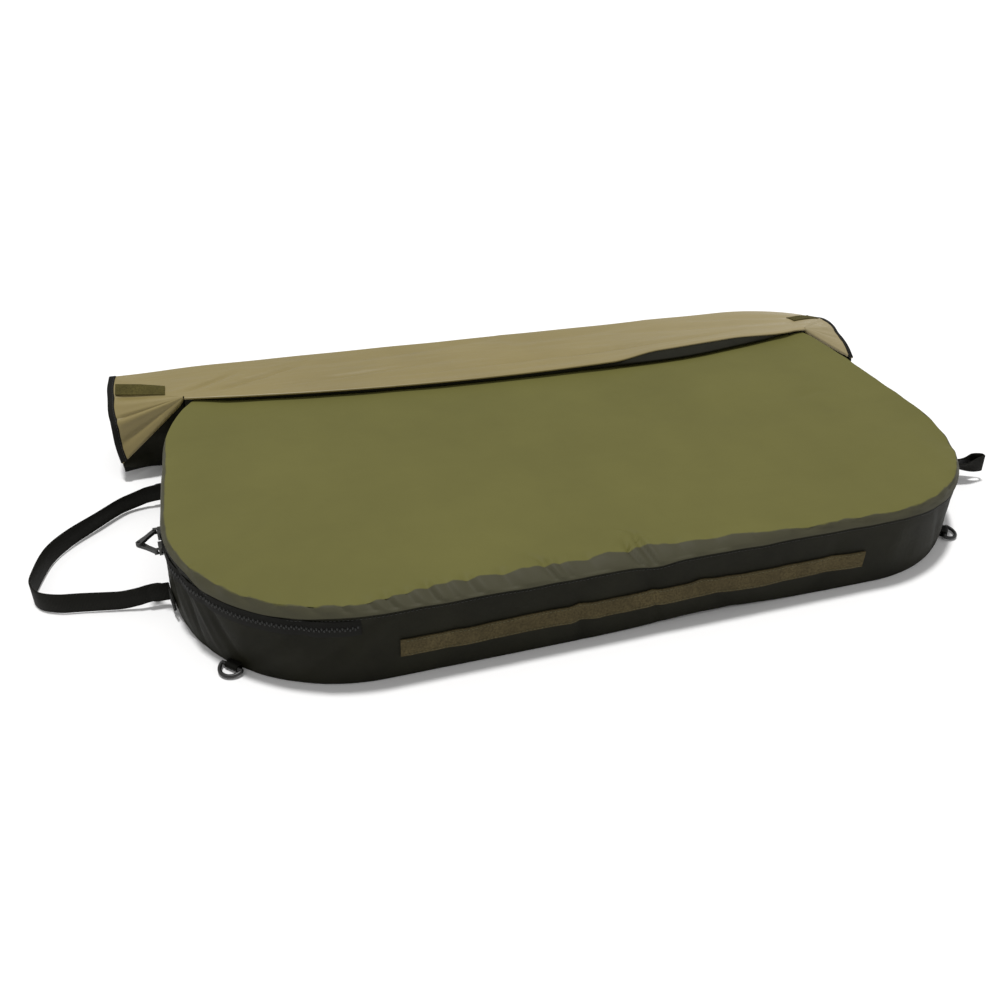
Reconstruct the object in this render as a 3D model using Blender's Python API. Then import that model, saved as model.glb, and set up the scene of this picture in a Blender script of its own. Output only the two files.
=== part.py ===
"""Unhooking mat for landed fish: a foam mat in a zipped bag, with a cover that folds over it.

Metres, +Z up. The origin is on the floor under the middle of the mat, +X runs along the mat
to its right-hand end and +Y to the rear edge, where the cover is sewn on.
"""
import math

import bmesh
import bpy
from mathutils import Matrix, Vector

# Mat
MAT_LENGTH = 1.050
MAT_WIDTH = 0.600
MAT_HEIGHT = 0.106
CROWN_RISE = 0.004
CORNER_RADIUS = 0.220
SEAM_HEIGHT = 0.0888
ROLL_WIDTH = 0.030
BASE_DRAW_IN = 0.003
SEAM_DRAW_IN = 0.0008
SKIN = 0.0015
GAP = 0.0003
LEAST_RADIUS = 0.010
CORNER_STEPS = 9

# Webbing and fittings
WEBBING_WIDTH = 0.025
WEBBING_THICKNESS = 0.002
ANCHOR_LENGTH = 0.030
STRIP_LENGTH = 0.570
STRIP_WIDTH = 0.025
STRIP_HEIGHT = 0.0435
STRIP_THICKNESS = 0.002

# Carry handle, as it lies on the floor
HANDLE_SPAN = 0.2164
HANDLE_REACH = 0.139
HANDLE_PIVOT_OUT = 0.0145
HANDLE_PIVOT_HEIGHT = 0.020
HANDLE_SETTLE = 0.045
FLOOR_CLEARANCE = 0.0006
HANDLE_ROUTE_SHARES = [(0.0, 1.0), (0.10, 1.0), (0.14, 1.0), (0.33, 0.92), (0.55, 0.65),
                       (0.77, 0.36), (0.92, 0.05), (0.99, -0.34), (1.0, -0.56), (0.93, -0.74),
                       (0.78, -0.85), (0.58, -0.90), (0.33, -0.96), (0.14, -1.0), (0.10, -1.0),
                       (0.0, -1.0)]

# End tab
TAB_ANGLE = math.radians(-9.5)
TAB_REACH = 0.0755
TAB_PIVOT_OUT = 0.0170
TAB_HEIGHT = 0.027
TAB_EYE = 0.012

# D-rings
RING_INNER_WIDTH = 0.0230
RING_WIRE = 0.0044
RING_BAR_OUT = 0.0030
RING_TAB_WIDTH = 0.016
RING_TAB_SKIN = 0.0013
RING_CLEARANCE = 0.0004

# Zip
ZIP_HEIGHT = 0.078
ZIP_TAPE_WIDTH = 0.020
ZIP_TAPE_THICKNESS = 0.0006
ZIP_CHAIN_WIDTH = 0.006
ZIP_CHAIN_THICKNESS = 0.0015
ZIP_FRONT_TURN = math.radians(84.0)
ZIP_REAR_TURN = math.radians(22.0)
SLIDER_LENGTH = 0.013
SLIDER_WIDTH = 0.0115
SLIDER_TAIL_WIDTH = 0.0096
SLIDER_PLATE = 0.0022
SLIDER_REST = 0.075
SLIDER_TURN = math.radians(6.5)
LUG_PLATE = 0.0009
LUG_REACH = 0.0049
LUG_WIDTH = 0.0040
PIN_RADIUS = 0.0009
PULL_LENGTH = 0.030
PULL_WIDTH = 0.0070
PULL_WAIST = 0.0046
PULL_THICKNESS = 0.0042
PULL_EYE_RADIUS = 0.0012
PULL_HOLE_RADIUS = 0.0018
PULL_SWING = math.radians(52.0)

# Cover
COVER_OVERHANG = 0.075
COVER_SHEET = 0.0020
COVER_CLEARANCE = 0.0002
FOLD_DEPTH = 0.141
FOLD_RISE = 0.0030
RIDGE_CLEARANCE = 0.0060
FRONT_CLEARANCE = 0.0050
DROP_FOOT = 0.0005
FRONT_DROP = 0.085
FLOOR_MARGIN = 0.016
STACK_CLEARANCE = 0.0010
HOOK_THICKNESS = 0.0014
BINDING = 0.010
REAR_FOLD_DEPTH = 0.0030
REAR_FOLD_PITCH = 0.150
CORNER_FOOT = 0.031
CORNER_BACK = 0.013
CORNER_FORWARD = 0.015
LEFT_DROOP = math.radians(62.0)
RIGHT_DROOP = math.radians(30.0)
CURTAIN_RISE = 0.006
BAR_LENGTH = 0.070
BAR_WIDTH = 0.025
BAR_INSET = 0.024
BAR_BACK = 0.036
BAR_THICKNESS = 0.0012

HALF_LENGTH = MAT_LENGTH / 2
HALF_WIDTH = MAT_WIDTH / 2
EDGE_HEIGHT = MAT_HEIGHT - CROWN_RISE
CORNER_X = HALF_LENGTH - CORNER_RADIUS
CORNER_Y = HALF_WIDTH - CORNER_RADIUS
FACET_SHARE = math.cos(math.radians(45) / CORNER_STEPS)
COVER_HALF = HALF_LENGTH + COVER_OVERHANG
COVER_CORNER_RADIUS = CORNER_RADIUS + COVER_OVERHANG
RIDGE_LINE = HALF_WIDTH + RIDGE_CLEARANCE
FOLD_LINE = RIDGE_LINE - FOLD_DEPTH
FOLD_HEIGHT = MAT_HEIGHT + FOLD_RISE
CLOSED_FRONT = HALF_WIDTH + FRONT_CLEARANCE
CORNER_INNER = HALF_LENGTH - CORNER_FOOT


def clear_scene():
    for old in list(bpy.data.objects):
        bpy.data.objects.remove(old, do_unlink=True)


def material(name, colour, roughness, metallic=0.0):
    made = bpy.data.materials.new(name)
    made.use_nodes = True
    shader = made.node_tree.nodes["Principled BSDF"]
    shader.inputs["Base Color"].default_value = (*colour, 1.0)
    shader.inputs["Roughness"].default_value = roughness
    shader.inputs["Metallic"].default_value = metallic
    return made


def add_object(name, points, faces, surface, origin=(0, 0, 0), parent=None):
    """Closed body from world points; its object's origin is at the given world point."""
    origin = Vector(origin)
    mesh = bpy.data.meshes.new(name)
    mesh.from_pydata([Vector(p) - origin for p in points], [], faces)
    shell = bmesh.new()
    shell.from_mesh(mesh)
    bmesh.ops.recalc_face_normals(shell, faces=shell.faces)
    shell.to_mesh(mesh)
    shell.free()
    mesh.shade_smooth()
    mesh.set_sharp_from_angle(angle=math.radians(40))
    mesh.materials.append(surface)
    made = bpy.data.objects.new(name, mesh)
    bpy.context.scene.collection.objects.link(made)
    if parent:
        made.parent = parent
        origin = origin - parent.location
    made.location = origin
    return made


def add_pivot(name, location):
    """Empty on a joint's axis that carries the pieces that turn with it."""
    pivot = bpy.data.objects.new(name, None)
    pivot.location = location
    bpy.context.scene.collection.objects.link(pivot)
    return pivot


def loft(rings, loop=False):
    """Points and faces of a skin through equal rings, closed by its end rings or into a loop."""
    count = len(rings[0])
    points = [p for ring in rings for p in ring]
    faces = []
    spans = len(rings) if loop else len(rings) - 1
    for row in range(spans):
        here = row * count
        there = (row + 1) % len(rings) * count
        for i in range(count):
            j = (i + 1) % count
            faces.append((here + i, here + j, there + j, there + i))
    if not loop:
        faces.append(tuple(reversed(range(count))))
        faces.append(tuple(range((len(rings) - 1) * count, len(rings) * count)))
    return points, faces


def prism(base, direction):
    """Points and faces of a flat outline carried along a direction."""
    base = [Vector(p) for p in base]
    return loft([base, [p + Vector(direction) for p in base]])


def mat_outline(inset):
    """Plan of the mat drawn in by an inset: a rectangle with round corners, anticlockwise."""
    half_x = HALF_LENGTH - inset
    half_y = HALF_WIDTH - inset
    radius = max(CORNER_RADIUS - inset, LEAST_RADIUS)
    outline = []
    for corner, (side_x, side_y) in enumerate([(1, 1), (-1, 1), (-1, -1), (1, -1)]):
        centre_x = side_x * (half_x - radius)
        centre_y = side_y * (half_y - radius)
        for step in range(CORNER_STEPS + 1):
            turn = math.radians(90) * (corner + step / CORNER_STEPS)
            outline.append((centre_x + radius * math.cos(turn), centre_y + radius * math.sin(turn)))
    return outline


def mat_ring(inset, height):
    return [(x, y, height) for x, y in mat_outline(inset)]


def wall_inset(height):
    """The wall bulges halfway up and is drawn in to the base seam and the top seam."""
    middle = SEAM_HEIGHT / 2
    share = (height - middle) / middle
    draw_in = SEAM_DRAW_IN if share > 0 else BASE_DRAW_IN
    return draw_in * share * share


def top_height(inset):
    """Height of the crowned top at an inset from the outline."""
    share = min(inset / HALF_WIDTH, 1.0)
    return EDGE_HEIGHT + CROWN_RISE * (1 - (1 - share) ** 2)


TOP_INSET_SHARES = [0.22, 0.36, 0.54, 0.74, 0.95]
ROLL_STEPS = 5


def top_rings(depth):
    """Rings of the top surface, from the seam over the rolled edge to the middle, sunk by a depth."""
    rings = []
    start = top_height(ROLL_WIDTH)
    for step in range(ROLL_STEPS + 1):
        turn = math.radians(90) * step / ROLL_STEPS
        inset = depth + (ROLL_WIDTH - depth) * (1 - math.cos(turn))
        rings.append(mat_ring(inset, SEAM_HEIGHT + (start - depth - SEAM_HEIGHT) * math.sin(turn)))
    for share in TOP_INSET_SHARES:
        inset = share * HALF_WIDTH
        rings.append(mat_ring(inset, top_height(inset) - depth))
    return rings


def build_top_panel(surface):
    points, faces = loft(list(reversed(top_rings(0))) + top_rings(SKIN))
    return add_object("top_panel", points, faces, surface)


WALL_STEPS = 6


def wall_heights(low, high):
    return [low + (high - low) * step / WALL_STEPS for step in range(WALL_STEPS + 1)]


def build_side_wall(surface):
    heights = wall_heights(SKIN + GAP, SEAM_HEIGHT - GAP)
    outer = [mat_ring(wall_inset(z), z) for z in heights]
    inner = [mat_ring(wall_inset(z) + SKIN, z) for z in reversed(heights)]
    points, faces = loft(outer + inner, loop=True)
    return add_object("side_wall", points, faces, surface)


def build_base_panel(surface):
    points, faces = loft([mat_ring(BASE_DRAW_IN, 0), mat_ring(BASE_DRAW_IN, SKIN)])
    return add_object("base_panel", points, faces, surface)


def build_foam_core(surface):
    """Slab that fills the bag, a named gap inside its skins."""
    depth = SKIN + GAP
    heights = wall_heights(depth, SEAM_HEIGHT)
    rings = [mat_ring(wall_inset(z) + depth, z) for z in heights]
    points, faces = loft(rings + top_rings(depth)[1:])
    return add_object("foam_core", points, faces, surface)


def build_front_strip(surface):
    half = STRIP_LENGTH / 2
    low = STRIP_HEIGHT - STRIP_WIDTH / 2
    high = STRIP_HEIGHT + STRIP_WIDTH / 2
    face = -(HALF_WIDTH + GAP)
    base = [(-half, face, low), (half, face, low), (half, face, high), (-half, face, high)]
    points, faces = prism(base, (0, -STRIP_THICKNESS, 0))
    return add_object("front_loop_strip", points, faces, surface)


def arc_turns(last):
    """Turns round a corner from its start to a last one, at the corners of the mat's outline."""
    step = math.radians(90) / CORNER_STEPS
    return [step * i for i in range(math.ceil(last / step))] + [last]


def left_end_path(out, front_turn, rear_turn):
    """Plan points along the left end, from a turn round the front corner to one round the rear."""
    radius = CORNER_RADIUS + out
    front = [(-CORNER_X - radius * math.cos(turn), -CORNER_Y - radius * math.sin(turn))
             for turn in reversed(arc_turns(front_turn))]
    rear = [(-CORNER_X - radius * math.cos(turn), CORNER_Y + radius * math.sin(turn))
            for turn in arc_turns(rear_turn)]
    return front + rear


def strap(path, half_widths, thickness, shift=0.0):
    """Ribbon on its edge along plan points (x, y, z of its middle), with a half width at each."""
    rings = []
    flat = [Vector((x, y)) for x, y, _ in path]
    for i, (x, y, z) in enumerate(path):
        before = (flat[i] - flat[i - 1]).normalized() if i else None
        after = (flat[i + 1] - flat[i]).normalized() if i + 1 < len(flat) else None
        along = ((before or after) + (after or before)).normalized()
        across = Vector((-along.y, along.x))
        reach = thickness / 2 / max(along.dot(after or before), 0.5)
        low, high = z - half_widths[i], z + half_widths[i]
        left = flat[i] + across * (shift + reach)
        right = flat[i] + across * (shift - reach)
        rings.append([(left.x, left.y, low), (left.x, left.y, high),
                      (right.x, right.y, high), (right.x, right.y, low)])
    return loft(rings)


def build_zip(tape_surface, chain_surface):
    """Tape and closed chain under the top seam, round the left-hand end."""
    tape_out = GAP + ZIP_TAPE_THICKNESS / 2
    chain_out = 2 * GAP + ZIP_TAPE_THICKNESS + ZIP_CHAIN_THICKNESS / 2
    for name, out, width, thick, surface in (
            ("zip_tape", tape_out, ZIP_TAPE_WIDTH, ZIP_TAPE_THICKNESS, tape_surface),
            ("zip_chain", chain_out, ZIP_CHAIN_WIDTH, ZIP_CHAIN_THICKNESS, chain_surface)):
        plan = left_end_path(out, ZIP_FRONT_TURN, ZIP_REAR_TURN)
        path = [(x, y, ZIP_HEIGHT) for x, y in plan]
        points, faces = strap(path, [width / 2] * len(path), thick)
        add_object(name, points, faces, surface)


def boolean(target, cutter, operation):
    """Apply an exact Boolean and drop the cutter."""
    change = target.modifiers.new(operation.lower(), "BOOLEAN")
    change.object = cutter
    change.operation = operation
    change.solver = "EXACT"
    graph = bpy.context.evaluated_depsgraph_get()
    result = bpy.data.meshes.new_from_object(target.evaluated_get(graph))
    target.modifiers.clear()
    target.data = result
    bpy.data.objects.remove(cutter, do_unlink=True)


PIN_STEPS = 12
CUT_OVERRUN = 0.002


def cylinder_between(name, centre, radius, low, high, surface):
    ring = []
    for step in range(PIN_STEPS):
        turn = math.tau * step / PIN_STEPS
        ring.append((centre[0] + radius * math.cos(turn), centre[1] + radius * math.sin(turn), low))
    points, faces = prism(ring, (0, 0, high - low))
    return add_object(name, points, faces, surface)


def box(name, low, high, surface):
    base = [(low[0], low[1], low[2]), (high[0], low[1], low[2]),
            (high[0], high[1], low[2]), (low[0], high[1], low[2])]
    points, faces = prism(base, (0, 0, high[2] - low[2]))
    return add_object(name, points, faces, surface)


CHAIN_FACE = 2 * GAP + ZIP_TAPE_THICKNESS + ZIP_CHAIN_THICKNESS
SLIDER_FACE = CHAIN_FACE + GAP + SLIDER_PLATE
PIVOT_OUT = SLIDER_FACE + LUG_REACH - LUG_WIDTH / 2
PULL_RISE = PULL_THICKNESS / 2 + 2 * GAP + LUG_PLATE


def slider(name, side, surface):
    """Slider at the origin: out of the wall along -X, travel along Y, pull lugs on one side of Z.

    Its skirts straddle the chain, and two lugs with a pin between them carry the pull's eye.
    """
    skirt_foot = GAP + ZIP_TAPE_THICKNESS + GAP
    head, tail = SLIDER_WIDTH / 2, SLIDER_TAIL_WIDTH / 2
    half = SLIDER_LENGTH / 2
    base = [(-skirt_foot, -half, -head), (-skirt_foot, half / 2, -head), (-skirt_foot, half, -tail),
            (-skirt_foot, half, tail), (-skirt_foot, half / 2, head), (-skirt_foot, -half, head)]
    points, faces = prism(base, (skirt_foot - SLIDER_FACE, 0, 0))
    body = add_object(name, points, faces, surface)
    groove = ZIP_CHAIN_WIDTH / 2 + 2 * GAP
    cut = box("slider_groove", (-CHAIN_FACE - GAP, -SLIDER_LENGTH, -groove),
              (CUT_OVERRUN, SLIDER_LENGTH, groove), surface)
    boolean(body, cut, "DIFFERENCE")
    middle = side * PULL_RISE
    for face in (-1, 1):
        inner = middle + face * (PULL_THICKNESS / 2 + GAP)
        outer = inner + face * LUG_PLATE
        lug = box("slider_lug", (-SLIDER_FACE - LUG_REACH, -LUG_WIDTH / 2, min(inner, outer)),
                  (-SLIDER_FACE + SLIDER_PLATE / 2, LUG_WIDTH / 2, max(inner, outer)), surface)
        boolean(body, lug, "UNION")
    reach = PULL_THICKNESS / 2 + GAP + LUG_PLATE / 2
    pin = cylinder_between("slider_pin", (-PIVOT_OUT, 0), PIN_RADIUS, middle - reach, middle + reach, surface)
    boolean(body, pin, "UNION")
    return body


PULL_STEPS = 8


def pull(name, surface):
    """Moulded pull at the origin, its eye on the Z axis and its tail towards -X."""
    half, waist = PULL_WIDTH / 2, PULL_WAIST / 2
    eye = PULL_WAIST / 2
    tail_centre = PULL_LENGTH - half
    outline = []
    for step in range(PULL_STEPS + 1):
        turn = math.radians(-90) + math.pi * step / PULL_STEPS
        outline.append((eye * math.cos(turn), eye * math.sin(turn)))
    outline.append((-tail_centre / 2, waist))
    for step in range(PULL_STEPS + 1):
        turn = math.radians(90) + math.pi * step / PULL_STEPS
        outline.append((-tail_centre + half * math.cos(turn), half * math.sin(turn)))
    outline.append((-tail_centre / 2, -waist))
    base = [(x, y, -PULL_THICKNESS / 2) for x, y in outline]
    points, faces = prism(base, (0, 0, PULL_THICKNESS))
    body = add_object(name, points, faces, surface)
    for x, radius in ((0, PULL_EYE_RADIUS), (-tail_centre, PULL_HOLE_RADIUS)):
        hole = cylinder_between("pull_hole", (x, 0), radius, -PULL_THICKNESS, PULL_THICKNESS, surface)
        boolean(body, hole, "DIFFERENCE")
    return body


def build_sliders(metal, moulded):
    """Rear slider on the straight of the end wall, front slider on the corner; their pulls cross."""
    for name, side in (("rear", 1), ("front", -1)):
        body = slider("zip_slider_" + name, side, metal)
        grip = pull("zip_pull_" + name, moulded)
        if side > 0:
            body.location = (-HALF_LENGTH, -SLIDER_REST, ZIP_HEIGHT)
            turn = 0
        else:
            turn = SLIDER_TURN
            body.location = (-CORNER_X - CORNER_RADIUS * math.cos(turn),
                             -CORNER_Y - CORNER_RADIUS * math.sin(turn), ZIP_HEIGHT)
            body.rotation_euler = (0, 0, turn)
        outward = Matrix.Rotation(turn, 3, "Z") @ Vector((-PIVOT_OUT, 0, side * PULL_RISE))
        grip.location = Vector(body.location) + outward
        grip.rotation_euler = (0, 0, turn + side * PULL_SWING)


def smooth_route(controls, steps):
    """Points on a smooth curve through the controls, a few steps between each two."""
    route = []
    for i in range(len(controls) - 1):
        a = Vector(controls[max(i - 1, 0)])
        b, c = Vector(controls[i]), Vector(controls[i + 1])
        d = Vector(controls[min(i + 2, len(controls) - 1)])
        for step in range(steps):
            t = step / steps
            route.append(b + ((c - a) * t + (2 * a - 5 * b + 4 * c - d) * t * t
                              + (3 * b - a - 3 * c + d) * t ** 3) / 2)
    route.append(Vector(controls[-1]))
    return route


END_STEPS = 5
ROUTE_STEPS = 3


def round_end(radius):
    """Distances past a pivot and half widths that round off a ribbon's end, tip first."""
    ends = []
    for step in range(END_STEPS):
        turn = math.radians(90) * (step + 0.5) / (END_STEPS + 0.5)
        ends.append((radius * math.cos(turn), radius * math.sin(turn)))
    return ends


def build_handle(surface):
    """Loop of webbing on its edge, each end lapped on its sewn anchor at the pivot line."""
    half = WEBBING_WIDTH / 2
    pivot_x = -HALF_LENGTH - HANDLE_PIVOT_OUT
    floor = half + FLOOR_CLEARANCE
    controls = [(pivot_x - sx * HANDLE_REACH, sy * HANDLE_SPAN / 2) for sx, sy in HANDLE_ROUTE_SHARES]
    path, widths = [], []
    for x, y in smooth_route(controls, ROUTE_STEPS):
        share = min((pivot_x - x) / HANDLE_SETTLE, 1.0)
        drop = share * share * (3 - 2 * share)
        path.append((x, y, HANDLE_PIVOT_HEIGHT + (floor - HANDLE_PIVOT_HEIGHT) * drop))
        widths.append(half)
    for sign in (1, -1):
        tips = [((pivot_x + out, sign * HANDLE_SPAN / 2, HANDLE_PIVOT_HEIGHT), width)
                for out, width in round_end(half)]
        if sign > 0:
            path = [p for p, _ in tips] + path
            widths = [w for _, w in tips] + widths
        else:
            path = path + [p for p, _ in reversed(tips)]
            widths = widths + [w for _, w in reversed(tips)]
    points, faces = strap(path, widths, WEBBING_THICKNESS)
    add_object("carry_handle", points, faces, surface, origin=(pivot_x, 0, HANDLE_PIVOT_HEIGHT))


def build_handle_anchors(surface):
    """Webbing sewn to the end wall, turned outwards into a stub beside each end of the handle."""
    half = WEBBING_WIDTH / 2
    lap = HANDLE_SPAN / 2 + WEBBING_THICKNESS + GAP
    radius = CORNER_RADIUS + GAP + WEBBING_THICKNESS / 2
    pivot_x = -HALF_LENGTH - HANDLE_PIVOT_OUT
    first = math.asin((lap - CORNER_Y) / radius)
    last = first + ANCHOR_LENGTH / radius
    for name, sign in (("rear", 1), ("front", -1)):
        path = []
        for step in range(END_STEPS):
            turn = last + (first - last) * step / (END_STEPS - 1)
            path.append((-CORNER_X - radius * math.cos(turn), sign * (CORNER_Y + radius * math.sin(turn))))
        path.append((pivot_x, sign * lap))
        widths = [half] * len(path)
        for out, width in reversed(round_end(half)):
            path.append((pivot_x - out, sign * lap))
            widths.append(width)
        points, faces = strap([(x, y, HANDLE_PIVOT_HEIGHT) for x, y in path], widths, WEBBING_THICKNESS)
        add_object("handle_anchor_" + name, points, faces, surface)


def corner_place(side_x, side_y, turn, out):
    """Plan point at a distance out of a corner arc, turned from its X direction."""
    radius = CORNER_RADIUS + out
    return Vector((side_x * (CORNER_X + radius * math.cos(turn)), side_y * (CORNER_Y + radius * math.sin(turn))))


def build_end_tab(surface):
    """Folded loop of webbing that straddles its sewn stub at the right-hand end."""
    half = WEBBING_WIDTH / 2
    turn = -TAB_ANGLE
    outward = Vector((math.cos(turn), -math.sin(turn)))
    across = Vector((-outward.y, outward.x))
    foot = corner_place(1, -1, turn, 0)
    pivot = foot + outward * TAB_PIVOT_OUT
    radius = CORNER_RADIUS + GAP + WEBBING_THICKNESS / 2
    path = []
    for step in range(END_STEPS):
        angle = turn + ANCHOR_LENGTH / radius * (1 - step / (END_STEPS - 1))
        path.append((CORNER_X + radius * math.cos(angle), -CORNER_Y - radius * math.sin(angle)))
    path.append(tuple(pivot))
    widths = [half] * len(path)
    for out, width in reversed(round_end(half)):
        path.append(tuple(pivot + outward * out))
        widths.append(width)
    points, faces = strap([(x, y, TAB_HEIGHT) for x, y in path], widths, WEBBING_THICKNESS)
    add_object("end_tab_anchor", points, faces, surface)
    lap = WEBBING_THICKNESS + GAP
    controls = [(0, lap), (TAB_REACH / 5, lap), (TAB_REACH / 3, lap), (TAB_REACH * 3 / 4, TAB_EYE / 2),
                (TAB_REACH - TAB_EYE / 5, TAB_EYE / 3), (TAB_REACH, 0),
                (TAB_REACH - TAB_EYE / 5, -TAB_EYE / 3), (TAB_REACH * 3 / 4, -TAB_EYE / 2),
                (TAB_REACH / 3, -lap), (TAB_REACH / 5, -lap), (0, -lap)]
    route = [pivot + outward * along + across * aside for along, aside in smooth_route(controls, ROUTE_STEPS)]
    tips = round_end(half)
    path = [pivot - outward * out + across * lap for out, _ in tips] + route
    path += [pivot - outward * out - across * lap for out, _ in reversed(tips)]
    widths = [w for _, w in tips] + [half] * len(route) + [w for _, w in reversed(tips)]
    points, faces = strap([(p.x, p.y, TAB_HEIGHT) for p in path], widths, WEBBING_THICKNESS)
    add_object("end_tab", points, faces, surface, origin=(pivot.x, pivot.y, TAB_HEIGHT))


RING_BOW_STEPS = 14
RING_SIDES = 8
TAB_TURN_STEPS = 7


def ring_mesh():
    """D-ring in the XY plane: its bar on the X axis, its bow towards +Y."""
    reach = (RING_INNER_WIDTH + RING_WIRE) / 2
    wire = RING_WIRE / 2
    centres = []
    for step in range(RING_BOW_STEPS + 1):
        turn = math.pi * step / RING_BOW_STEPS
        centres.append(Vector((reach * math.cos(turn), reach * math.sin(turn), 0)))
    rings = []
    count = len(centres)
    for i, centre in enumerate(centres):
        before = (centre - centres[i - 1]).normalized()
        after = (centres[(i + 1) % count] - centre).normalized()
        along = (before + after).normalized()
        across = Vector((-along.y, along.x, 0)) / along.dot(before)
        ring = []
        for side in range(RING_SIDES):
            turn = math.tau * (side + 0.5) / RING_SIDES
            ring.append(centre + across * wire * math.cos(turn) + Vector((0, 0, wire * math.sin(turn))))
        rings.append(ring)
    return loft(rings, loop=True)


def build_rings(webbing, wire_surface):
    """Four D-rings at the base seam, each held by a folded webbing tab, its bow down on the floor."""
    wire = RING_WIRE / 2
    inner = wire + RING_CLEARANCE
    outer = inner + RING_TAB_SKIN
    bar_height = FLOOR_CLEARANCE + outer
    reach = (RING_INNER_WIDTH + RING_WIRE) / 2
    tilt = math.asin((bar_height - wire - FLOOR_CLEARANCE) / reach)
    seat = wall_inset(bar_height + outer) - GAP + CORNER_RADIUS * (1 - FACET_SHARE)
    turn = math.radians(45)
    for name, side_x, side_y in (("front_left", -1, -1), ("front_right", 1, -1),
                                 ("rear_left", -1, 1), ("rear_right", 1, 1)):
        outward = Vector((side_x * math.cos(turn), side_y * math.sin(turn), 0))
        along = Vector((-outward.y, outward.x, 0))
        bar = corner_place(side_x, side_y, turn, RING_BAR_OUT)
        bar = Vector((bar.x, bar.y, bar_height))
        spread = Matrix((-along, outward, Vector((0, 0, 1)))).transposed()
        place = spread @ Matrix.Rotation(-tilt, 3, "X")
        points, faces = ring_mesh()
        add_object("d_ring_" + name, [bar + place @ p for p in points], faces, wire_surface, origin=bar)
        section = [(-RING_BAR_OUT - seat, outer)]
        for radius, steps in ((outer, range(TAB_TURN_STEPS + 1)), (inner, range(TAB_TURN_STEPS, -1, -1))):
            for step in steps:
                angle = math.radians(90) - math.pi * step / TAB_TURN_STEPS
                section.append((radius * math.cos(angle), radius * math.sin(angle)))
            if radius == outer:
                section += [(-RING_BAR_OUT - seat, -outer), (-RING_BAR_OUT - seat, -inner)]
        section.append((-RING_BAR_OUT - seat, inner))
        start = bar - along * RING_TAB_WIDTH / 2
        base = [start + outward * out + Vector((0, 0, up)) for out, up in section]
        points, faces = prism(base, along * RING_TAB_WIDTH)
        add_object("d_ring_tab_" + name, points, faces, webbing)


class Leaf:
    """One flat length of the cover: a start on the sheet, a place, a direction and a face."""

    def __init__(self, start, y, z, along, facing, rise):
        self.start = start
        self.pivot = Vector((0, y, z))
        self.along = Vector((0, *along))
        self.facing = Vector((0, *facing))
        self.rise = rise

    def place(self, x, s, lift=0.0):
        """World point of a place on the sheet: x along it and s down it from the fold."""
        return (self.pivot + Vector((x, 0, 0)) + self.along * (s - self.start)
                + self.facing * (self.rise + lift))


REAR_DROP = FOLD_HEIGHT - DROP_FOOT
STACK_HEIGHT = DROP_FOOT + COVER_CLEARANCE + COVER_SHEET + STACK_CLEARANCE
SHEET_FRONT = FOLD_LINE + CLOSED_FRONT
FLOOR_PANEL = (SHEET_FRONT - FOLD_DEPTH - REAR_DROP + FRONT_DROP + FLOOR_MARGIN) / 2
REAR_START = FOLD_DEPTH
FLOOR_START = REAR_START + REAR_DROP
RETURN_START = FLOOR_START + FLOOR_PANEL
UP, DOWN, BACK, FORWARD = (0, 1), (0, -1), (1, 0), (-1, 0)

FOLD_LEAF = Leaf(0, FOLD_LINE, FOLD_HEIGHT, BACK, UP, COVER_CLEARANCE)
REAR_LEAF = Leaf(REAR_START, RIDGE_LINE, FOLD_HEIGHT, DOWN, BACK, COVER_CLEARANCE)
FLOOR_LEAF = Leaf(FLOOR_START, RIDGE_LINE, DROP_FOOT, BACK, UP, COVER_CLEARANCE)
RETURN_LEAF = Leaf(RETURN_START, RIDGE_LINE + FLOOR_PANEL, STACK_HEIGHT, FORWARD, UP, STACK_CLEARANCE)
DROP_LEAF = Leaf(SHEET_FRONT, RIDGE_LINE + FLOOR_PANEL + RETURN_START - SHEET_FRONT, STACK_HEIGHT,
                 FORWARD, UP, STACK_CLEARANCE)


def cover_half_width(s):
    """Half width of the sheet: straight, then round as the mat's front corners are when it's shut."""
    past = max(s - FOLD_LINE - CORNER_Y, 0)
    inside = math.sqrt(COVER_CORNER_RADIUS ** 2 - past ** 2)
    return COVER_HALF - COVER_CORNER_RADIUS + inside


def sheet_piece(name, leaf, outline, surface, parent, thickness=COVER_SHEET, lift=0.0):
    base = [leaf.place(x, s, lift) for x, s in outline]
    points, faces = prism(base, leaf.facing * thickness)
    return add_object(name, points, faces, surface, origin=leaf.pivot, parent=parent)


EDGE_STEPS = 6


def edge_strip(leaf, first, last, side):
    """Outline of the bound end of a leaf, between two places down the sheet."""
    rows = [first + (last - first) * step / EDGE_STEPS for step in range(EDGE_STEPS + 1)]
    outer = [(side * cover_half_width(s), s) for s in rows]
    inner = [(side * (cover_half_width(s) - BINDING), s) for s in reversed(rows)]
    return outer + inner


def leaf_outline(first, last):
    """Outline of a leaf inside its bound ends, a gap short of them."""
    rows = [first + (last - first) * step / EDGE_STEPS for step in range(EDGE_STEPS + 1)]
    reach = BINDING + GAP
    right = [(cover_half_width(s) - reach, s) for s in rows]
    return right + [(-x, s) for x, s in reversed(right)]


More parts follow.
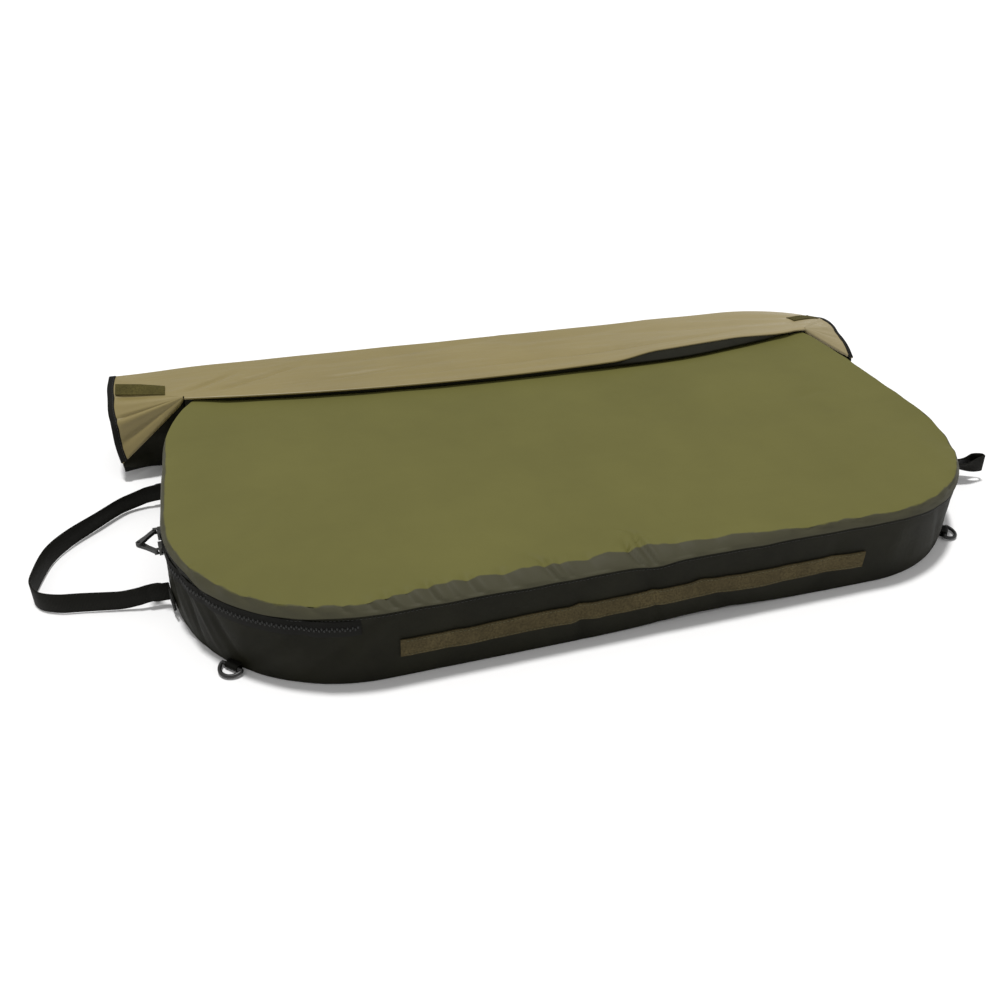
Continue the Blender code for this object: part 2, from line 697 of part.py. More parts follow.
def rear_drop_mesh():
    """Drop behind the mat, hanging in shallow folds that die away at its top and its foot."""
    half = COVER_HALF - BINDING - GAP
    first = REAR_START + GAP
    last = FLOOR_START - COVER_SHEET - 2 * GAP
    columns = round(half * 2 / REAR_FOLD_PITCH) * EDGE_STEPS
    shells = []
    for lift in (0, COVER_SHEET):
        rows = []
        for row in range(EDGE_STEPS + 1):
            share = row / EDGE_STEPS
            s = first + (last - first) * share
            line = []
            for column in range(columns + 1):
                x = -half + 2 * half * column / columns
                wave = (1 - math.cos(math.tau * (x + half) / REAR_FOLD_PITCH)) / 2
                depth = REAR_FOLD_DEPTH * wave * math.sin(math.pi * share)
                line.append(REAR_LEAF.place(x, s, lift - depth))
            rows.append(line)
        shells.append(rows)
    points = [p for rows in shells for line in rows for p in line]
    width = columns + 1
    layer = width * (EDGE_STEPS + 1)
    faces = []
    for row in range(EDGE_STEPS):
        for column in range(columns):
            a = row * width + column
            faces.append((a, a + 1, a + 1 + width, a + width))
            b = a + layer
            faces.append((b, b + width, b + width + 1, b + 1))
    border = [c for c in range(width)]
    border += [row * width + width - 1 for row in range(1, EDGE_STEPS + 1)]
    border += [EDGE_STEPS * width + c for c in range(width - 2, -1, -1)]
    border += [row * width for row in range(EDGE_STEPS - 1, 0, -1)]
    for i, a in enumerate(border):
        b = border[(i + 1) % len(border)]
        faces.append((a, a + layer, b + layer, b))
    return points, faces


def build_cover(sheet, reverse, binding, hook):
    """The cover as it lies thrown back: leaf over leaf, each turning on the line it folds along."""
    fold = add_pivot("cover_fold_pivot", FOLD_LEAF.pivot)
    rear = add_pivot("rear_drop_pivot", REAR_LEAF.pivot)
    floor = add_pivot("floor_leaf_pivot", FLOOR_LEAF.pivot)
    back = add_pivot("return_leaf_pivot", RETURN_LEAF.pivot)
    drop = add_pivot("front_drop_pivot", DROP_LEAF.pivot)
    bend_s = FOLD_DEPTH - CORNER_BACK
    bound_half = COVER_HALF - BINDING
    inner_half = bound_half - GAP
    start = GAP
    inner_s = corner_line(inner_half)
    top = [(-CORNER_INNER, start), (CORNER_INNER, start), (inner_half, inner_s),
           (inner_half, FOLD_DEPTH), (-inner_half, FOLD_DEPTH), (-inner_half, inner_s)]
    sheet_piece("cover_fold_panel", FOLD_LEAF, top, sheet, fold)
    for name, side, droop in (("left", -1, LEFT_DROOP), ("right", 1, RIGHT_DROOP)):
        strip = [(side * COVER_HALF, bend_s), (side * COVER_HALF, FOLD_DEPTH),
                 (side * bound_half, FOLD_DEPTH), (side * bound_half, corner_line(bound_half))]
        sheet_piece("fold_binding_" + name, FOLD_LEAF, strip, binding, fold)
        bar_outer = bound_half - BAR_INSET
        bar_inner = bar_outer - BAR_LENGTH
        bar_low = FOLD_DEPTH - BAR_BACK - BAR_WIDTH / 2
        bar_high = bar_low + BAR_WIDTH
        bar = [(side * bar_outer, bar_low), (side * bar_outer, bar_high),
               (side * bar_inner, bar_high), (side * bar_inner, bar_low)]
        sheet_piece("hook_bar_" + name, FOLD_LEAF, bar, hook, fold, BAR_THICKNESS, COVER_SHEET + GAP)
        build_corner(name, side, droop, sheet, reverse, binding, fold)
    points, faces = rear_drop_mesh()
    add_object("cover_rear_drop", points, faces, sheet, origin=REAR_LEAF.pivot, parent=rear)
    leaves = (("rear", REAR_LEAF, REAR_START + GAP, FLOOR_START - COVER_SHEET - 2 * GAP, rear, False),
              ("floor", FLOOR_LEAF, FLOOR_START + COVER_SHEET + 2 * GAP, RETURN_START - GAP, floor, True),
              ("return", RETURN_LEAF, RETURN_START + GAP, SHEET_FRONT - GAP, back, True))
    for name, leaf, first, last, pivot, has_panel in leaves:
        if has_panel:
            sheet_piece("cover_" + name + "_panel", leaf, leaf_outline(first, last), sheet, pivot)
        for side_name, side in (("left", -1), ("right", 1)):
            strip = edge_strip(leaf, first, last, side)
            sheet_piece(name + "_binding_" + side_name, leaf, strip, binding, pivot)
    build_front_drop(sheet, binding, hook, drop)


def build_front_drop(sheet, binding, hook, pivot):
    """Narrow drop that hangs down the front wall when the cover is shut, its hook strip inside."""
    half = CORNER_X
    first, last = SHEET_FRONT + GAP, SHEET_FRONT + FRONT_DROP
    inner = half - BINDING - GAP
    foot = last - BINDING - GAP
    panel = [(-inner, first), (inner, first), (inner, foot), (-inner, foot)]
    sheet_piece("cover_front_drop", DROP_LEAF, panel, sheet, pivot)
    bound = [(half, first), (half, last), (-half, last), (-half, first),
             (-half + BINDING, first), (-half + BINDING, last - BINDING),
             (half - BINDING, last - BINDING), (half - BINDING, first)]
    sheet_piece("front_drop_binding", DROP_LEAF, bound, binding, pivot)
    middle = SHEET_FRONT + FOLD_HEIGHT - COVER_CLEARANCE - COVER_SHEET - STACK_CLEARANCE - STRIP_HEIGHT
    reach = STRIP_LENGTH / 2
    strip = [(-reach, middle - STRIP_WIDTH / 2), (reach, middle - STRIP_WIDTH / 2),
             (reach, middle + STRIP_WIDTH / 2), (-reach, middle + STRIP_WIDTH / 2)]
    sheet_piece("front_hook_strip", DROP_LEAF, strip, hook, pivot, HOOK_THICKNESS, -GAP - HOOK_THICKNESS)


def corner_line(x):
    """Place down the sheet, at a distance along it, of the slanting line a corner droops from."""
    share = (x - CORNER_INNER) / (COVER_HALF - CORNER_INNER)
    return GAP + (FOLD_DEPTH - CORNER_BACK - GAP) * share


def build_corner(name, side, droop, sheet, reverse, binding, pivot):
    """Corner of the fold that droops past the mat's end, and the under layer hanging below it.

    The corner turns down about the slanting line from the mat's edge to the sheet's end.
    """
    def on_line(x):
        return FOLD_LEAF.place(side * x, corner_line(x))

    bound = COVER_HALF - BINDING
    hinge_start = on_line(CORNER_INNER)
    along = (on_line(COVER_HALF) - hinge_start).normalized()
    turn = Matrix.Rotation(droop, 3, along)
    if (turn @ Vector((side, 0, 0))).z > 0:
        turn = turn.transposed()
    sideways = along.cross(FOLD_LEAF.facing).normalized()
    if sideways.x * side < 0:
        sideways = -sideways
    facing = turn @ FOLD_LEAF.facing
    tip = FOLD_LEAF.place(side * COVER_HALF, -CORNER_FORWARD)
    bound_tip = FOLD_LEAF.place(side * bound, -CORNER_FORWARD)
    panel_tip = FOLD_LEAF.place(side * (bound - GAP), -CORNER_FORWARD)

    def lay(point, shift):
        return hinge_start + turn @ (point + sideways * shift - hinge_start)

    panel = [lay(hinge_start, GAP), lay(on_line(bound - GAP), GAP), lay(panel_tip, 0)]
    points, faces = prism(panel, facing * COVER_SHEET)
    add_object("fold_corner_" + name, points, faces, sheet, origin=FOLD_LEAF.pivot, parent=pivot)
    strip = [lay(on_line(COVER_HALF), GAP), lay(tip, 0), lay(bound_tip, 0), lay(on_line(bound), GAP)]
    points, faces = prism(strip, facing * COVER_SHEET)
    add_object("corner_binding_" + name, points, faces, binding, origin=FOLD_LEAF.pivot, parent=pivot)
    build_curtain(name, side, hinge_start, lay(tip, 0), reverse, binding)


def build_curtain(name, side, start, tip, reverse, binding):
    """Under layer below a drooping corner: it falls from the fold to the floor beside the wall."""
    centre = Vector((side * CORNER_X, CORNER_Y, 0))
    level = Vector((1, 1, 0))
    a = start * level - centre
    d = tip * level - start * level
    radius = CORNER_RADIUS * FACET_SHARE + GAP + COVER_SHEET / 2
    p, q = a.dot(d) / d.dot(d), (a.dot(a) - radius * radius) / d.dot(d)
    share = -p + math.sqrt(p * p - q)
    line = d.normalized()
    across = Vector((-line.y, line.x, 0)) * COVER_SHEET

    def under(portion, drop):
        point = start + (tip - start) * portion
        return point - Vector((0, 0, drop)) - across / 2

    hang = COVER_SHEET + GAP
    foot_share = (share + 1) / 2
    floor = FLOOR_CLEARANCE
    top_wall, top_tip = under(share, hang), under(1, hang)
    foot_wall, foot_middle = under(share, 0), under(foot_share, 0)
    foot_wall.z = foot_middle.z = floor
    foot_tip = top_tip - Vector((0, 0, CURTAIN_RISE + BINDING))
    rise = Vector((0, 0, BINDING + GAP))
    panel = [foot_wall + rise, foot_middle + rise, foot_tip + rise, top_tip, top_wall]
    points, faces = prism(panel, across)
    add_object("under_curtain_" + name, points, faces, reverse)
    lift = Vector((0, 0, BINDING))
    strip = [foot_wall, foot_middle, foot_tip, foot_tip + lift, foot_middle + lift, foot_wall + lift]
    points, faces = prism(strip, across)
    add_object("curtain_binding_" + name, points, faces, binding)


UNDER_SPANS = 6


def build_under_layer(sheet):
    """Layer sewn along the rear seam: up over the rolled edge and flat to the fold line."""
    first = math.asin((FOLD_LINE + LEAST_RADIUS - CORNER_Y) / (CORNER_RADIUS - ROLL_WIDTH))
    turns = [first]
    for step in range(CORNER_STEPS + 1):
        turn = math.radians(90) * step / CORNER_STEPS
        if turn > first + GAP:
            turns.append(turn)
    corner = [(CORNER_X, turn) for turn in turns]
    middle = [(CORNER_X - 2 * CORNER_X * span / UNDER_SPANS, math.radians(90)) for span in range(1, UNDER_SPANS)]
    columns = corner + middle + [(-CORNER_X, math.pi - turn) for turn in reversed(turns)]
    start = top_height(ROLL_WIDTH)
    rings = []
    for centre, angle in columns:
        sides = []
        for out in (GAP, GAP + COVER_SHEET):
            line = []
            for step in range(ROLL_STEPS + 1):
                turn = math.radians(90) * step / ROLL_STEPS
                reach = CORNER_RADIUS + out - (ROLL_WIDTH + out) * (1 - math.cos(turn))
                rise = SEAM_HEIGHT + (start + out - SEAM_HEIGHT) * math.sin(turn)
                line.append((centre + reach * math.cos(angle), CORNER_Y + reach * math.sin(angle), rise))
            flat = FOLD_HEIGHT - COVER_CLEARANCE - COVER_SHEET + out - GAP
            line.append((line[-1][0], FOLD_LINE + GAP, flat))
            sides.append(line)
        rings.append(sides[0] + list(reversed(sides[1])))
    points, faces = loft(rings)
    add_object("cover_under_layer", points, faces, sheet)


def main():
    clear_scene()
    olive = material("olive_coated_fabric", (0.147, 0.141, 0.045), 0.55)
    black = material("black_fabric", (0.0116, 0.0116, 0.0080), 0.80)
    foam = material("foam", (0.60, 0.58, 0.50), 0.95)
    khaki = material("khaki_coated_fabric", (0.323, 0.262, 0.112), 0.60)
    brown = material("brown_loop_tape", (0.060, 0.045, 0.020), 0.95)
    green = material("green_hook_tape", (0.084, 0.072, 0.021), 0.90)
    webbing = material("black_webbing", (0.0085, 0.0080, 0.0065), 0.75)
    bound = material("black_binding", (0.0090, 0.0088, 0.0072), 0.80)
    plastic = material("black_plastic", (0.012, 0.012, 0.011), 0.40)
    rubber = material("grey_moulded_rubber", (0.030, 0.030, 0.026), 0.60)
    metal = material("dark_metal", (0.050, 0.050, 0.050), 0.40, 1.0)
    build_base_panel(black)
    build_side_wall(black)
    build_foam_core(foam)
    build_top_panel(olive)
    build_front_strip(brown)
    build_zip(black, plastic)
    build_sliders(metal, rubber)
    build_handle_anchors(webbing)
    build_handle(webbing)
    build_end_tab(webbing)
    build_rings(webbing, plastic)
    build_under_layer(khaki)
    build_cover(khaki, black, bound, green)


main()
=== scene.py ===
"""Looks of the unhooking mat: padded top, wall, webbing, zip and the cover thrown back over it.

Metres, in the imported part's frame: origin on the floor under the middle of the mat, +X to its
right-hand end, +Y to its rear edge, +Z up.
"""
import math

import bpy
import numpy as np
from mathutils import Matrix, Vector


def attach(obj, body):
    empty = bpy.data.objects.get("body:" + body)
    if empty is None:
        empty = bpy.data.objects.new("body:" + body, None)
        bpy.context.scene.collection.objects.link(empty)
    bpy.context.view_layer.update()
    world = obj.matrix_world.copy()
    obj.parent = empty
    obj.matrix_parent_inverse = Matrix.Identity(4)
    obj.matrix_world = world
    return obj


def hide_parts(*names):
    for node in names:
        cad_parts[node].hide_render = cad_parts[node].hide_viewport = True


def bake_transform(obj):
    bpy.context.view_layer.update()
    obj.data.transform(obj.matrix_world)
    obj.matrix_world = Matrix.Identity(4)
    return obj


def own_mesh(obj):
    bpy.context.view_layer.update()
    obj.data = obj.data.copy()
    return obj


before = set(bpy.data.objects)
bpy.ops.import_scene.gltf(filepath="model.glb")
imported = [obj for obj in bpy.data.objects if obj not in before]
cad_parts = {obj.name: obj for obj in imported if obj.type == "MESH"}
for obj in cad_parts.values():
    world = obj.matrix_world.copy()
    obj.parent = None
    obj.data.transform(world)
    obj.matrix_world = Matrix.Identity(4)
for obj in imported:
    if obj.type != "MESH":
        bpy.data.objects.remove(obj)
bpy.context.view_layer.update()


# Camera, solved from the photograph

CAMERA_PLACE = (-0.42193, -1.01519, 0.71349)
CAMERA_FORWARD, CAMERA_UP = (0.27058789, 0.83340602, -0.48188857), (0.12292011, 0.46655522, 0.87590917)
CAMERA_LENS, CAMERA_SHIFT = 32.915, -0.08


def make_camera():
    """Camera at the photograph's place, turned by its forward and up directions."""
    data = bpy.data.cameras.new("camera")
    camera = bpy.data.objects.new("camera", data)
    bpy.context.scene.collection.objects.link(camera)
    forward = Vector(CAMERA_FORWARD).normalized()
    right = forward.cross(Vector(CAMERA_UP)).normalized()
    turn = Matrix((right, right.cross(forward), -forward)).transposed()
    camera.matrix_world = Matrix.Translation(CAMERA_PLACE) @ turn.to_4x4()
    data.sensor_width, data.lens, data.shift_y = 36, CAMERA_LENS, CAMERA_SHIFT
    data.clip_end = 100
    bpy.context.scene.camera = camera


# Driving sizes of the mat

LENGTH, WIDTH, RADIUS = 1.050, 0.600, 0.220
HALF_X, HALF_Y = LENGTH / 2, WIDTH / 2
CORNER_X, CORNER_Y = HALF_X - RADIUS, HALF_Y - RADIUS
SEAM, EDGE, TOP, ROLL, BORDER = 0.0888, 0.1026, 0.1030, 0.030, 0.055
CORNER_ARC = RADIUS * math.pi / 2
ROUND = 4 * (CORNER_X + CORNER_Y + CORNER_ARC)
WRAP = ROUND / 2 + 0.6
WEB_WIDTH, WEB_THICK = 0.025, 0.0018


# Shape tools

UPRIGHT = np.array([0, 0, 1.0])
FLOOR_GAP = 0.0002


def smooth(t):
    """S-shaped step: 0 up to t = 0, 1 from t = 1, and t^2 (3 - 2t) between."""
    t = np.clip(t, 0, 1)
    return t * t * (3 - 2 * t)


def bell(d, width):
    """1 on a line and falling to 0 beside it, at a distance d."""
    return np.exp(-(d / width) ** 2)


def crease(x, y, a, b, width, height):
    """Raised or sunk line from a to b that dies away towards its ends."""
    dx, dy = b[0] - a[0], b[1] - a[1]
    t = ((x - a[0]) * dx + (y - a[1]) * dy) / (dx * dx + dy * dy)
    c = np.clip(t, 0, 1)
    d = np.hypot(x - a[0] - c * dx, y - a[1] - c * dy)
    return height * bell(d, width) * np.sin(np.pi * c) ** 0.6


def window(s, start, rise, end, fall):
    """Rises from 0 at its start, stays 1, and falls to 0 after its end."""
    return smooth((s - start) / rise) * (1 - smooth((s - end) / fall))


def ripple(x, y, seed, pitch, count=7):
    """Sum of sines in seeded directions, about 1 high: gentle unevenness with a given pitch."""
    rng = np.random.default_rng(seed)
    total = np.zeros(np.broadcast(x, y).shape)
    for _ in range(count):
        turn, phase = rng.uniform(0, 2 * np.pi, 2)
        k = 2 * np.pi / (pitch * rng.uniform(0.7, 1.5))
        total = total + np.sin(k * (x * np.cos(turn) + y * np.sin(turn)) + phase)
    return total / math.sqrt(count)


def unit(v):
    """Vectors brought to a length of 1."""
    return v / np.maximum(np.linalg.norm(v, axis=-1, keepdims=True), 1e-12)


def square_to(v, along):
    """The part of v that is square to a direction, brought to a length of 1."""
    return unit(v - (v * along).sum(1, keepdims=True) * along)


def facing_up(normals):
    """Normals turned over where they point down."""
    return np.where(normals[..., 2:] < 0, -normals, normals)


def grid_normals(points):
    """Normals of a grid: across its rows times along its columns."""
    return unit(np.cross(np.gradient(points, axis=0), np.gradient(points, axis=1)))


def quads(rows, columns, wrap=False, start=0, flip=False):
    """Faces of a grid of points numbered from a start; wrapped, its last row joins its first."""
    index = np.arange(rows * columns).reshape(rows, columns) + start
    if wrap:
        index = np.vstack([index, index[:1]])
    faces = np.stack([index[:-1, :-1], index[1:, :-1], index[1:, 1:], index[:-1, 1:]], -1).reshape(-1, 4)
    return faces[:, ::-1] if flip else faces


def add_mesh(name, points, faces, surface, uv=None, sharp=40, normals=None):
    """Mesh of one surface, smooth but for edges sharper than an angle in degrees."""
    mesh = bpy.data.meshes.new(name)
    mesh.from_pydata(np.asarray(points, float).tolist(), [], [list(map(int, f)) for f in faces])
    mesh.update()
    mesh.shade_smooth()
    if sharp:
        mesh.set_sharp_from_angle(angle=math.radians(sharp))
    if uv is not None:
        layer = mesh.uv_layers.new(name="uv")
        corner = np.zeros(len(mesh.loops), np.int32)
        mesh.loops.foreach_get("vertex_index", corner)
        layer.data.foreach_set("uv", np.asarray(uv, np.float32)[corner].ravel())
    if normals is not None:
        mesh.normals_split_custom_set_from_vertices(normals.tolist())
    mesh.materials.append(surface)
    made = bpy.data.objects.new(name, mesh)
    bpy.context.scene.collection.objects.link(made)
    return made


def dress(piece, follow, slot, *nodes):
    """A piece moves with a body, or as its own function says, and stands for CAD nodes; its slot is not used."""
    if callable(follow):
        follow(piece)
    else:
        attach(piece, follow)
    if nodes:
        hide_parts(*nodes)
    return piece


def cloth(name, points, thickness, surface, normals=None, keep_normals=False, reverse=None):
    """Sheet of a thickness about a grid of points, closed round its edges; UV in metres along the grid.

    The face along the normals wears the surface, and the other face and the rim wear the reverse.
    """
    rows, columns = points.shape[:2]
    n = grid_normals(points) if normals is None else normals
    half = n * thickness / 2
    both = np.concatenate([(points + half).reshape(-1, 3), (points - half).reshape(-1, 3)])
    count = rows * columns
    faces = [quads(rows, columns), quads(rows, columns, start=count, flip=True)]
    index = np.arange(count).reshape(rows, columns)
    rim = np.concatenate([index[:-1, 0], index[-1, :-1], index[:0:-1, -1], index[0, :0:-1]])
    after = np.roll(rim, -1)
    faces.append(np.stack([rim, rim + count, after + count, after], -1))
    along = np.cumsum(np.linalg.norm(np.diff(points, axis=0, prepend=points[:1]), axis=2).mean(1))
    across = np.cumsum(np.linalg.norm(np.diff(points, axis=1, prepend=points[:, :1]), axis=2).mean(0))
    uv = np.stack(np.broadcast_arrays(along[:, None], across[None, :]), -1).reshape(-1, 2)
    custom = np.concatenate([n.reshape(-1, 3), -n.reshape(-1, 3)]) if keep_normals else None
    made = add_mesh(name, both, np.concatenate(faces), surface, np.concatenate([uv, uv]), 40, custom)
    if reverse is not None:
        made.data.materials.append(reverse)
        second_tone = (np.arange(len(made.data.polygons)) >= len(faces[0])).astype(np.int32)
        made.data.polygons.foreach_set("material_index", second_tone)
    return made


def lengths(path):
    """Distance along a path at each of its points."""
    return np.concatenate([[0], np.cumsum(np.linalg.norm(np.diff(path, axis=0), axis=1))])


def sample(values, at, line):
    """Rows of values, known at places along a line, read off at other places."""
    return np.stack([np.interp(at, line, v) for v in values.T], 1)


def share_of(path):
    """Share of a path's length that lies before each of its points."""
    line = lengths(path)
    return line / line[-1]


def beside(path):
    """Level direction to the left of a path, at each of its points."""
    along = unit(np.gradient(path, axis=0))
    return np.column_stack([-along[:, 1], along[:, 0], 0 * along[:, 0]])


def resample(path, step):
    """Points at an even step along a path."""
    line = lengths(path)
    return sample(path, np.linspace(0, line[-1], max(int(round(line[-1] / step)), 2) + 1), line)


def curve_through(points, step):
    """Catmull-Rom curve through points, resampled at an even step."""
    p = np.asarray(points, float)
    p = np.vstack([2 * p[0] - p[1], p, 2 * p[-1] - p[-2]])
    t = np.linspace(0, 1, 16, endpoint=False)[:, None]
    out = []
    for a, b, c, d in zip(p[:-3], p[1:-2], p[2:-1], p[3:]):
        out.append(b + ((c - a) * t + (2 * a - 5 * b + 4 * c - d) * t ** 2 + (3 * b - a - 3 * c + d) * t ** 3) / 2)
    return resample(np.vstack(out + [p[-2:-1]]), step)


def tape(name, path, across, facing, width, thickness, surface):
    """Flat tape with soft edges carried along a path, kept above the floor.

    Section: 10 points, half the width each way along `across`, half the thickness along `facing`,
    with the corners drawn in. UV: metres along, metres across.
    """
    across = unit(np.broadcast_to(np.asarray(across, float), path.shape))
    facing = square_to(np.broadcast_to(np.asarray(facing, float), path.shape), across)
    w = np.broadcast_to(np.asarray(width, float), len(path)) / 2
    t, soft = thickness / 2, thickness * 0.3
    section = [(-1, 0, -1), (-1, 1, -2), (0, 0, -2), (1, 1, -2), (1, 0, -1), (1, 0, 1),
               (1, 1, 2), (0, 0, 2), (-1, 1, 2), (-1, 0, 1)]
    rows, shares = [], []
    for side, inner, level in section:
        reach = side * (w - soft * inner) if side else 0 * w
        rise = np.sign(level) * (t if abs(level) == 2 else t - soft)
        rows.append(path + across * reach[:, None] + facing * rise)
        shares.append(reach)
    points = np.stack(rows, 0)
    points[..., 2] = np.maximum(points[..., 2], FLOOR_GAP)
    uv = np.stack([np.broadcast_to(lengths(path), points.shape[:2]), np.stack(shares, 0)], -1)
    count, steps = points.shape[:2]
    index = np.arange(count * steps).reshape(count, steps)
    faces = [*quads(count, steps, True), index[::-1, 0], index[:, -1]]
    turned = np.einsum("ij,ij->i", np.cross(across, facing), np.gradient(path, axis=0)).sum()
    if turned < 0:
        faces = [f[::-1] for f in faces]
    return add_mesh(name, points.reshape(-1, 3), faces, surface, uv.reshape(-1, 2), 50)


def closed_wire(name, path, radius, surface, sides):
    """Round wire along a closed path: a circle of points at each of its points, square to it."""
    along = unit(np.roll(path, -1, 0) - np.roll(path, 1, 0))
    guide = unit(np.cross(along, np.cross(along, path - path.mean(0) + 1e-6)))
    other = np.cross(along, guide)
    turn = np.linspace(0, 2 * np.pi, sides, endpoint=False)[:, None, None]
    points = (path[None] + (guide[None] * np.cos(turn) + other[None] * np.sin(turn)) * radius).reshape(-1, 3)
    index = np.arange(sides * len(path)).reshape(sides, len(path))
    index = np.vstack([index, index[:1]])
    index = np.hstack([index, index[:, :1]])
    faces = np.stack([index[:-1, :-1], index[:-1, 1:], index[1:, 1:], index[1:, :-1]], -1).reshape(-1, 4)
    a, b, c = (points[faces[:, i]] for i in range(3))
    if (a * np.cross(b, c)).sum() < 0:
        faces = faces[:, ::-1]
    return add_mesh(name, points, faces, surface, None, 60)


def repeat(name, shape, faces, centres, along, up, surface):
    """Copies of one small shape, its X turned along, its Z turned up, in one mesh."""
    along = unit(along)
    up = square_to(up, along)
    side = np.cross(up, along)
    shape = np.asarray(shape, float)
    placed = (centres[:, None] + shape[None, :, :1] * along[:, None] + shape[None, :, 1:2] * side[:, None]
              + shape[None, :, 2:] * up[:, None])
    every = [np.asarray(f)[None] + np.arange(len(centres))[:, None] * len(shape) for f in faces]
    return add_mesh(name, placed.reshape(-1, 3), [row for block in every for row in block], surface, None, 60)


def bead(length, width, height):
    """Small closed bead: four circles of six points, the middle two full, and its faces."""
    turn = np.arange(6) * math.pi / 3
    points, faces = [], []
    for x, share in ((-0.5, 0.45), (-0.25, 1.0), (0.25, 1.0), (0.5, 0.45)):
        points += [(x * length, math.cos(a) * width / 2 * share, math.sin(a) * height / 2 * share) for a in turn]
    for start in (0, 6, 12):
        for i in range(6):
            j = (i + 1) % 6
            faces.append((start + i, start + j, start + 6 + j, start + 6 + i))
    return points, [*faces, tuple(range(5, -1, -1)), tuple(range(18, 24))]


STITCH, STITCH_PITCH, THREAD = 0.0030, 0.0044, 0.0007


def stitches(name, path, facing, surface):
    """Row of sewn stitches on a surface: a bead each pitch along a path, half sunk."""
    line = lengths(path)
    middle = np.arange(STITCH_PITCH / 2, line[-1], STITCH_PITCH)
    up = unit(sample(np.broadcast_to(np.asarray(facing, float), path.shape), middle, line))
    centres = sample(path, middle, line) + up * THREAD * 0.15
    along = sample(np.gradient(path, axis=0), middle, line)
    return repeat(name, *bead(STITCH, THREAD, THREAD), centres, along, up, surface)


# Finishes

# The second span is the X, in metres, over which the khaki turns paler: a painted sheen.
CLOTH_SHINE, PAINTED_SHEEN_SPAN = 0.09, (0.05, 0.60)


def shader(name, colour, roughness, metallic=0.0):
    """New material, its nodes and its main shader."""
    made = bpy.data.materials.new(name)
    made.use_nodes = True
    node = made.node_tree.nodes["Principled BSDF"]
    node.inputs["Base Color"].default_value = (*colour, 1)
    node.inputs["Roughness"].default_value = roughness
    node.inputs["Metallic"].default_value = metallic
    return made, made.node_tree, node


def object_place(tree):
    """Object coordinates, which are metres in the part's frame."""
    return tree.nodes.new("ShaderNodeTexCoord").outputs["Object"]


def uv_place(tree):
    """The piece's own UV: metres along its cloth."""
    node = tree.nodes.new("ShaderNodeUVMap")
    node.uv_map = "uv"
    return node.outputs["UV"]


def noise(tree, place, scale, detail=3, rough=0.5):
    """Noise texture with a number of lumps to the metre."""
    made = tree.nodes.new("ShaderNodeTexNoise")
    for socket, value in (("Scale", scale), ("Detail", detail), ("Roughness", rough)):
        made.inputs[socket].default_value = value
    tree.links.new(place, made.inputs["Vector"])
    return made.outputs["Fac"]


def ribs(tree, place, direction, pitch, distortion=0.3):
    """Parallel ribs of a real pitch; the wave's own scale makes one rib each pi / 10 units."""
    made = tree.nodes.new("ShaderNodeTexWave")
    made.bands_direction = direction
    made.inputs["Scale"].default_value = math.pi / 10 / pitch
    made.inputs["Distortion"].default_value = distortion
    tree.links.new(place, made.inputs["Vector"])
    return made.outputs["Fac"]


def combine(tree, kind, a, b):
    """Two values added, multiplied or the like."""
    made = tree.nodes.new("ShaderNodeMath")
    made.operation = kind
    tree.links.new(a, made.inputs[0])
    tree.links.new(b, made.inputs[1])
    return made.outputs[0]


def between(tree, factor, low, high, span=(0.3, 0.7)):
    """Colour that goes from low to high as a factor crosses a span; each is a colour or a socket."""
    ramp = tree.nodes.new("ShaderNodeMapRange")
    ramp.inputs["From Min"].default_value, ramp.inputs["From Max"].default_value = span
    tree.links.new(factor, ramp.inputs["Value"])
    mixer = tree.nodes.new("ShaderNodeMix")
    mixer.data_type = "RGBA"
    for socket, value in (("A", low), ("B", high)):
        if isinstance(value, tuple):
            mixer.inputs[socket].default_value = (*value, 1)
        else:
            tree.links.new(value, mixer.inputs[socket])
    tree.links.new(ramp.outputs["Result"], mixer.inputs["Factor"])
    return mixer.outputs["Result"]


def bump(tree, height, strength, distance, onto, after=None):
    """Bump of a height in metres on the shader, over an earlier bump."""
    made = tree.nodes.new("ShaderNodeBump")
    made.inputs["Strength"].default_value = strength
    made.inputs["Distance"].default_value = distance
    tree.links.new(height, made.inputs["Height"])
    if after is not None:
        tree.links.new(after, made.inputs["Normal"])
    tree.links.new(made.outputs["Normal"], onto.inputs["Normal"])
    return made.outputs["Normal"]


def blotched(tree, place, scale, detail, rough, colour, dark, light):
    """A colour that wanders between a darker and a lighter share of itself."""
    return between(tree, noise(tree, place, scale, detail, rough), scaled(colour, dark), scaled(colour, light))


def scaled(colour, share):
    """A colour made darker or lighter."""
    return tuple(c * share for c in colour)


